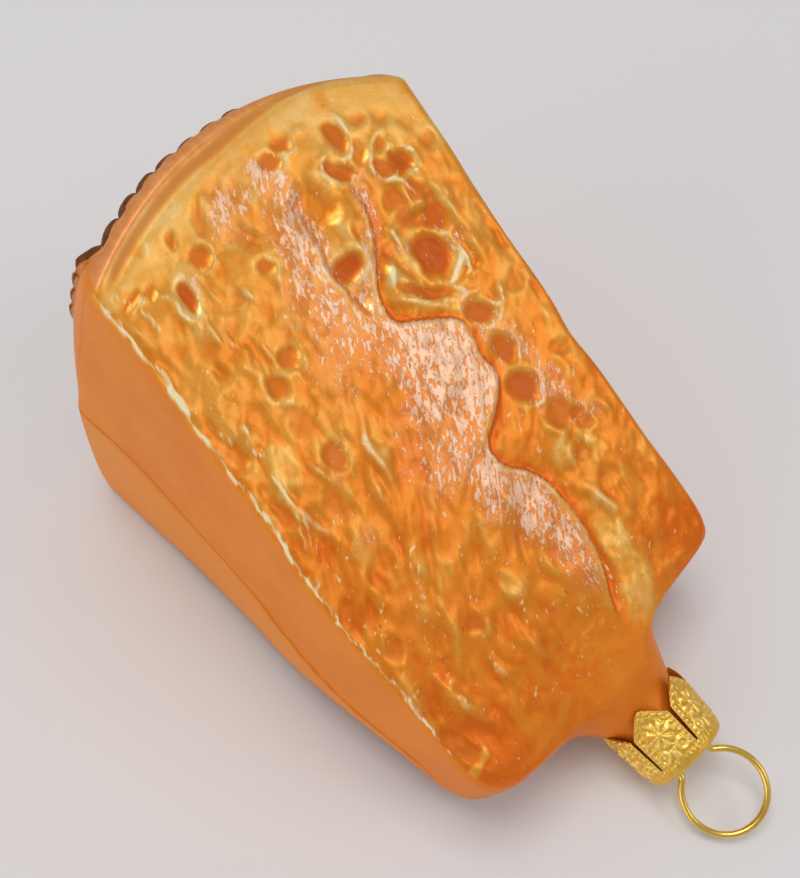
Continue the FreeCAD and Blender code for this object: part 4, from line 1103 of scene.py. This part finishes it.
    # lower metallic on the painted highlights makes them brighter
    m.put(m.bsdf, "Metallic", m.span(m.math("MULTIPLY", ridge_highlight, zone), 0.20, 0.80, 0.5, 0.10))
    rough = m.span(zone, 0, 1, 0.48, 0.33, smooth=False)
    rough = m.math("ADD", rough, m.math("MULTIPLY", m.math("SUBTRACT", grain, 0.5), 0.12))
    rough = m.math("ADD", rough, m.math("MULTIPLY", m.span(m.math("MULTIPLY", groove_shade, zone), 0.1, 0.6), 0.20))
    rough = m.math("ADD", rough, m.math("MULTIPLY", m.span(deep, 0.2, 0.8), 0.22))
    rough = m.math("ADD", rough, m.math("MULTIPLY", m.span(paint, 0.02, 0.2), 0.16))
    m.put(m.bsdf, "Roughness", rough)
    m.put(m.bsdf, "Specular IOR Level", 0.25)
    m.put(m.bsdf, "Specular Tint", (1.0, 0.72, 0.45, 1.0))
    m.put(m.bsdf, "Coat Weight", 0.14)
    m.put(m.bsdf, "Coat Roughness", 0.14)
    fine = m.math("ADD", m.math("MULTIPLY", grain, 0.30), m.math("MULTIPLY", lit, 0.7))
    fine = m.math("ADD", fine, m.math("MULTIPLY", m.noise(p, 9.0, 2, 0.5), 0.10))
    m.bump(fine, 0.30, 0.00020)
    return m.mat


def gilt(name, base, dark, rough, emboss=None):
    m = Tree(name)
    if emboss:
        p, e = m.attr("neck", "Vector"), m.attr(emboss)
        # painted shade: the stamped recesses of the cap take the darker gold
        col = m.mix(m.span(e, 0.0, 0.16), dark, base)
        tint = m.noise(p, 1.1, 3, 0.6)
    else:
        co = m.t.nodes.new("ShaderNodeTexCoord")
        p = co.outputs["Object"]
        col = m.mix(m.span(m.noise(p, 260, 3, 0.6), 0.3, 0.7), dark, base)
        tint = m.noise(p, 900, 3, 0.6)
    col = m.mix(m.span(tint, 0.3, 0.75, 0.0, 0.35), col, srgb(255, 224, 116))
    m.put(m.bsdf, "Base Color", col)
    m.put(m.bsdf, "Metallic", 1.0)
    m.put(m.bsdf, "Roughness", m.span(tint, 0.3, 0.7, rough, rough + 0.12, smooth=False))
    scale = 7.0 if emboss else 4200.0
    m.bump(m.noise(p, scale, 2, 0.5), 0.18, 0.00005)
    return m.mat


def simple_floor():
    m = Tree("pale_backdrop")
    co = m.t.nodes.new("ShaderNodeTexCoord")
    n = m.noise(co.outputs["Object"], 3.0, 3, 0.5)
    m.put(m.bsdf, "Base Color", m.mix(n, srgb(228, 225, 227), srgb(231, 231, 231)))
    m.put(m.bsdf, "Roughness", 0.9)
    m.put(m.bsdf, "Specular IOR Level", 0.15)
    return m.mat


def dress(ob, mat):
    ob.data.materials.clear()
    ob.data.materials.append(mat)
    ob.data.polygons.foreach_set("material_index", np.zeros(len(ob.data.polygons), np.int32))


dress(glass, lacquered_glass())
dress(cap, gilt("gilt_cap", srgb(255, 218, 118), srgb(238, 182, 72), 0.36, "emboss"))
dress(wire, gilt("gilt_wire", srgb(240, 200, 104), srgb(228, 184, 84), 0.18))

# ------------------------------------------------------------------ floor, light, camera
lo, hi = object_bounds()
fv, ff = [], []
size, cells = 1.6, 24
for i in range(cells + 1):
    for j in range(cells + 1):
        fv.append(((i / cells - 0.5) * size, (j / cells - 0.5) * size, 0.0))
for i in range(cells):
    for j in range(cells):
        a = i * (cells + 1) + j
        ff.append((a, a + cells + 1, a + cells + 2, a + 1))
floor = make_mesh("floor", np.array(fv), ff)
dress(floor, simple_floor())

# the camera, given in the mould's frame like everything else
EYE = np.array([12.0228, 50.3349, 132.7252])
VIEW = np.array([[-0.69427, -0.69772, 0.17657], [-0.70439, 0.60837, -0.36567], [0.147715, -0.37825, -0.91384]])


def turn_dir(d):
    return turned(np.asarray(d, float))


right, down, ahead = turn_dir(VIEW[0]), turn_dir(VIEW[1]), turn_dir(VIEW[2])
cam = bpy.data.cameras.new("camera")
cam.sensor_width, cam.lens = 36.0, 36.0 * 1200.0 / 878.0
cam.sensor_fit = "AUTO"
cam.clip_start, cam.clip_end = 0.005, 10.0
cam_ob = bpy.data.objects.new("camera", cam)
bpy.context.scene.collection.objects.link(cam_ob)
eye = world(EYE)
mat = Matrix.Identity(4)
for k in range(3):
    mat[k][0], mat[k][1], mat[k][2], mat[k][3] = right[k], -down[k], -ahead[k], eye[k]
cam_ob.matrix_world = mat
bpy.context.scene.camera = cam_ob


def area(name, where, target, size, power, colour=(1, 1, 1), size_y=None):
    la = bpy.data.lights.new(name, "AREA")
    la.energy, la.size, la.color = power, size, colour
    if size_y:
        la.shape, la.size_y = "RECTANGLE", size_y
    ob = bpy.data.objects.new(name, la)
    bpy.context.scene.collection.objects.link(ob)
    ob.location = where
    ob.rotation_mode = "QUATERNION"
    ob.rotation_quaternion = (Vector(target) - Vector(where)).to_track_quat("-Z", "Y")
    return ob


R_, U_, B_ = Vector(right), Vector(-down), Vector(-ahead)
mid = Vector((0, 0, 0.02))
area("key", mid + (R_ * -0.08 + U_ * 0.42 + B_ * 0.62), mid, 0.36, 2.0, (1.0, 0.99, 0.975))
area("fill", mid + (R_ * -0.60 + U_ * -0.30 + B_ * 0.45), mid, 0.60, 1.15, (1.0, 0.99, 0.98))
area("glint", mid + (R_ * 0.57 + U_ * 0.18 + B_ * 0.50), mid, 0.28, 0.52, (1.0, 0.99, 0.98))
world_ = bpy.data.worlds.new("studio")
bpy.context.scene.world = world_
world_.use_nodes = True
bg = world_.node_tree.nodes.get("Background") or world_.node_tree.nodes.new("ShaderNodeBackground")
bg.inputs["Color"].default_value = (1.0, 0.985, 0.98, 1.0)
bg.inputs["Strength"].default_value = 0.44
outw = world_.node_tree.nodes.get("World Output") or world_.node_tree.nodes.new("ShaderNodeOutputWorld")
world_.node_tree.links.new(bg.outputs[0], outw.inputs[0])
bpy.context.scene.view_settings.view_transform = "Standard"
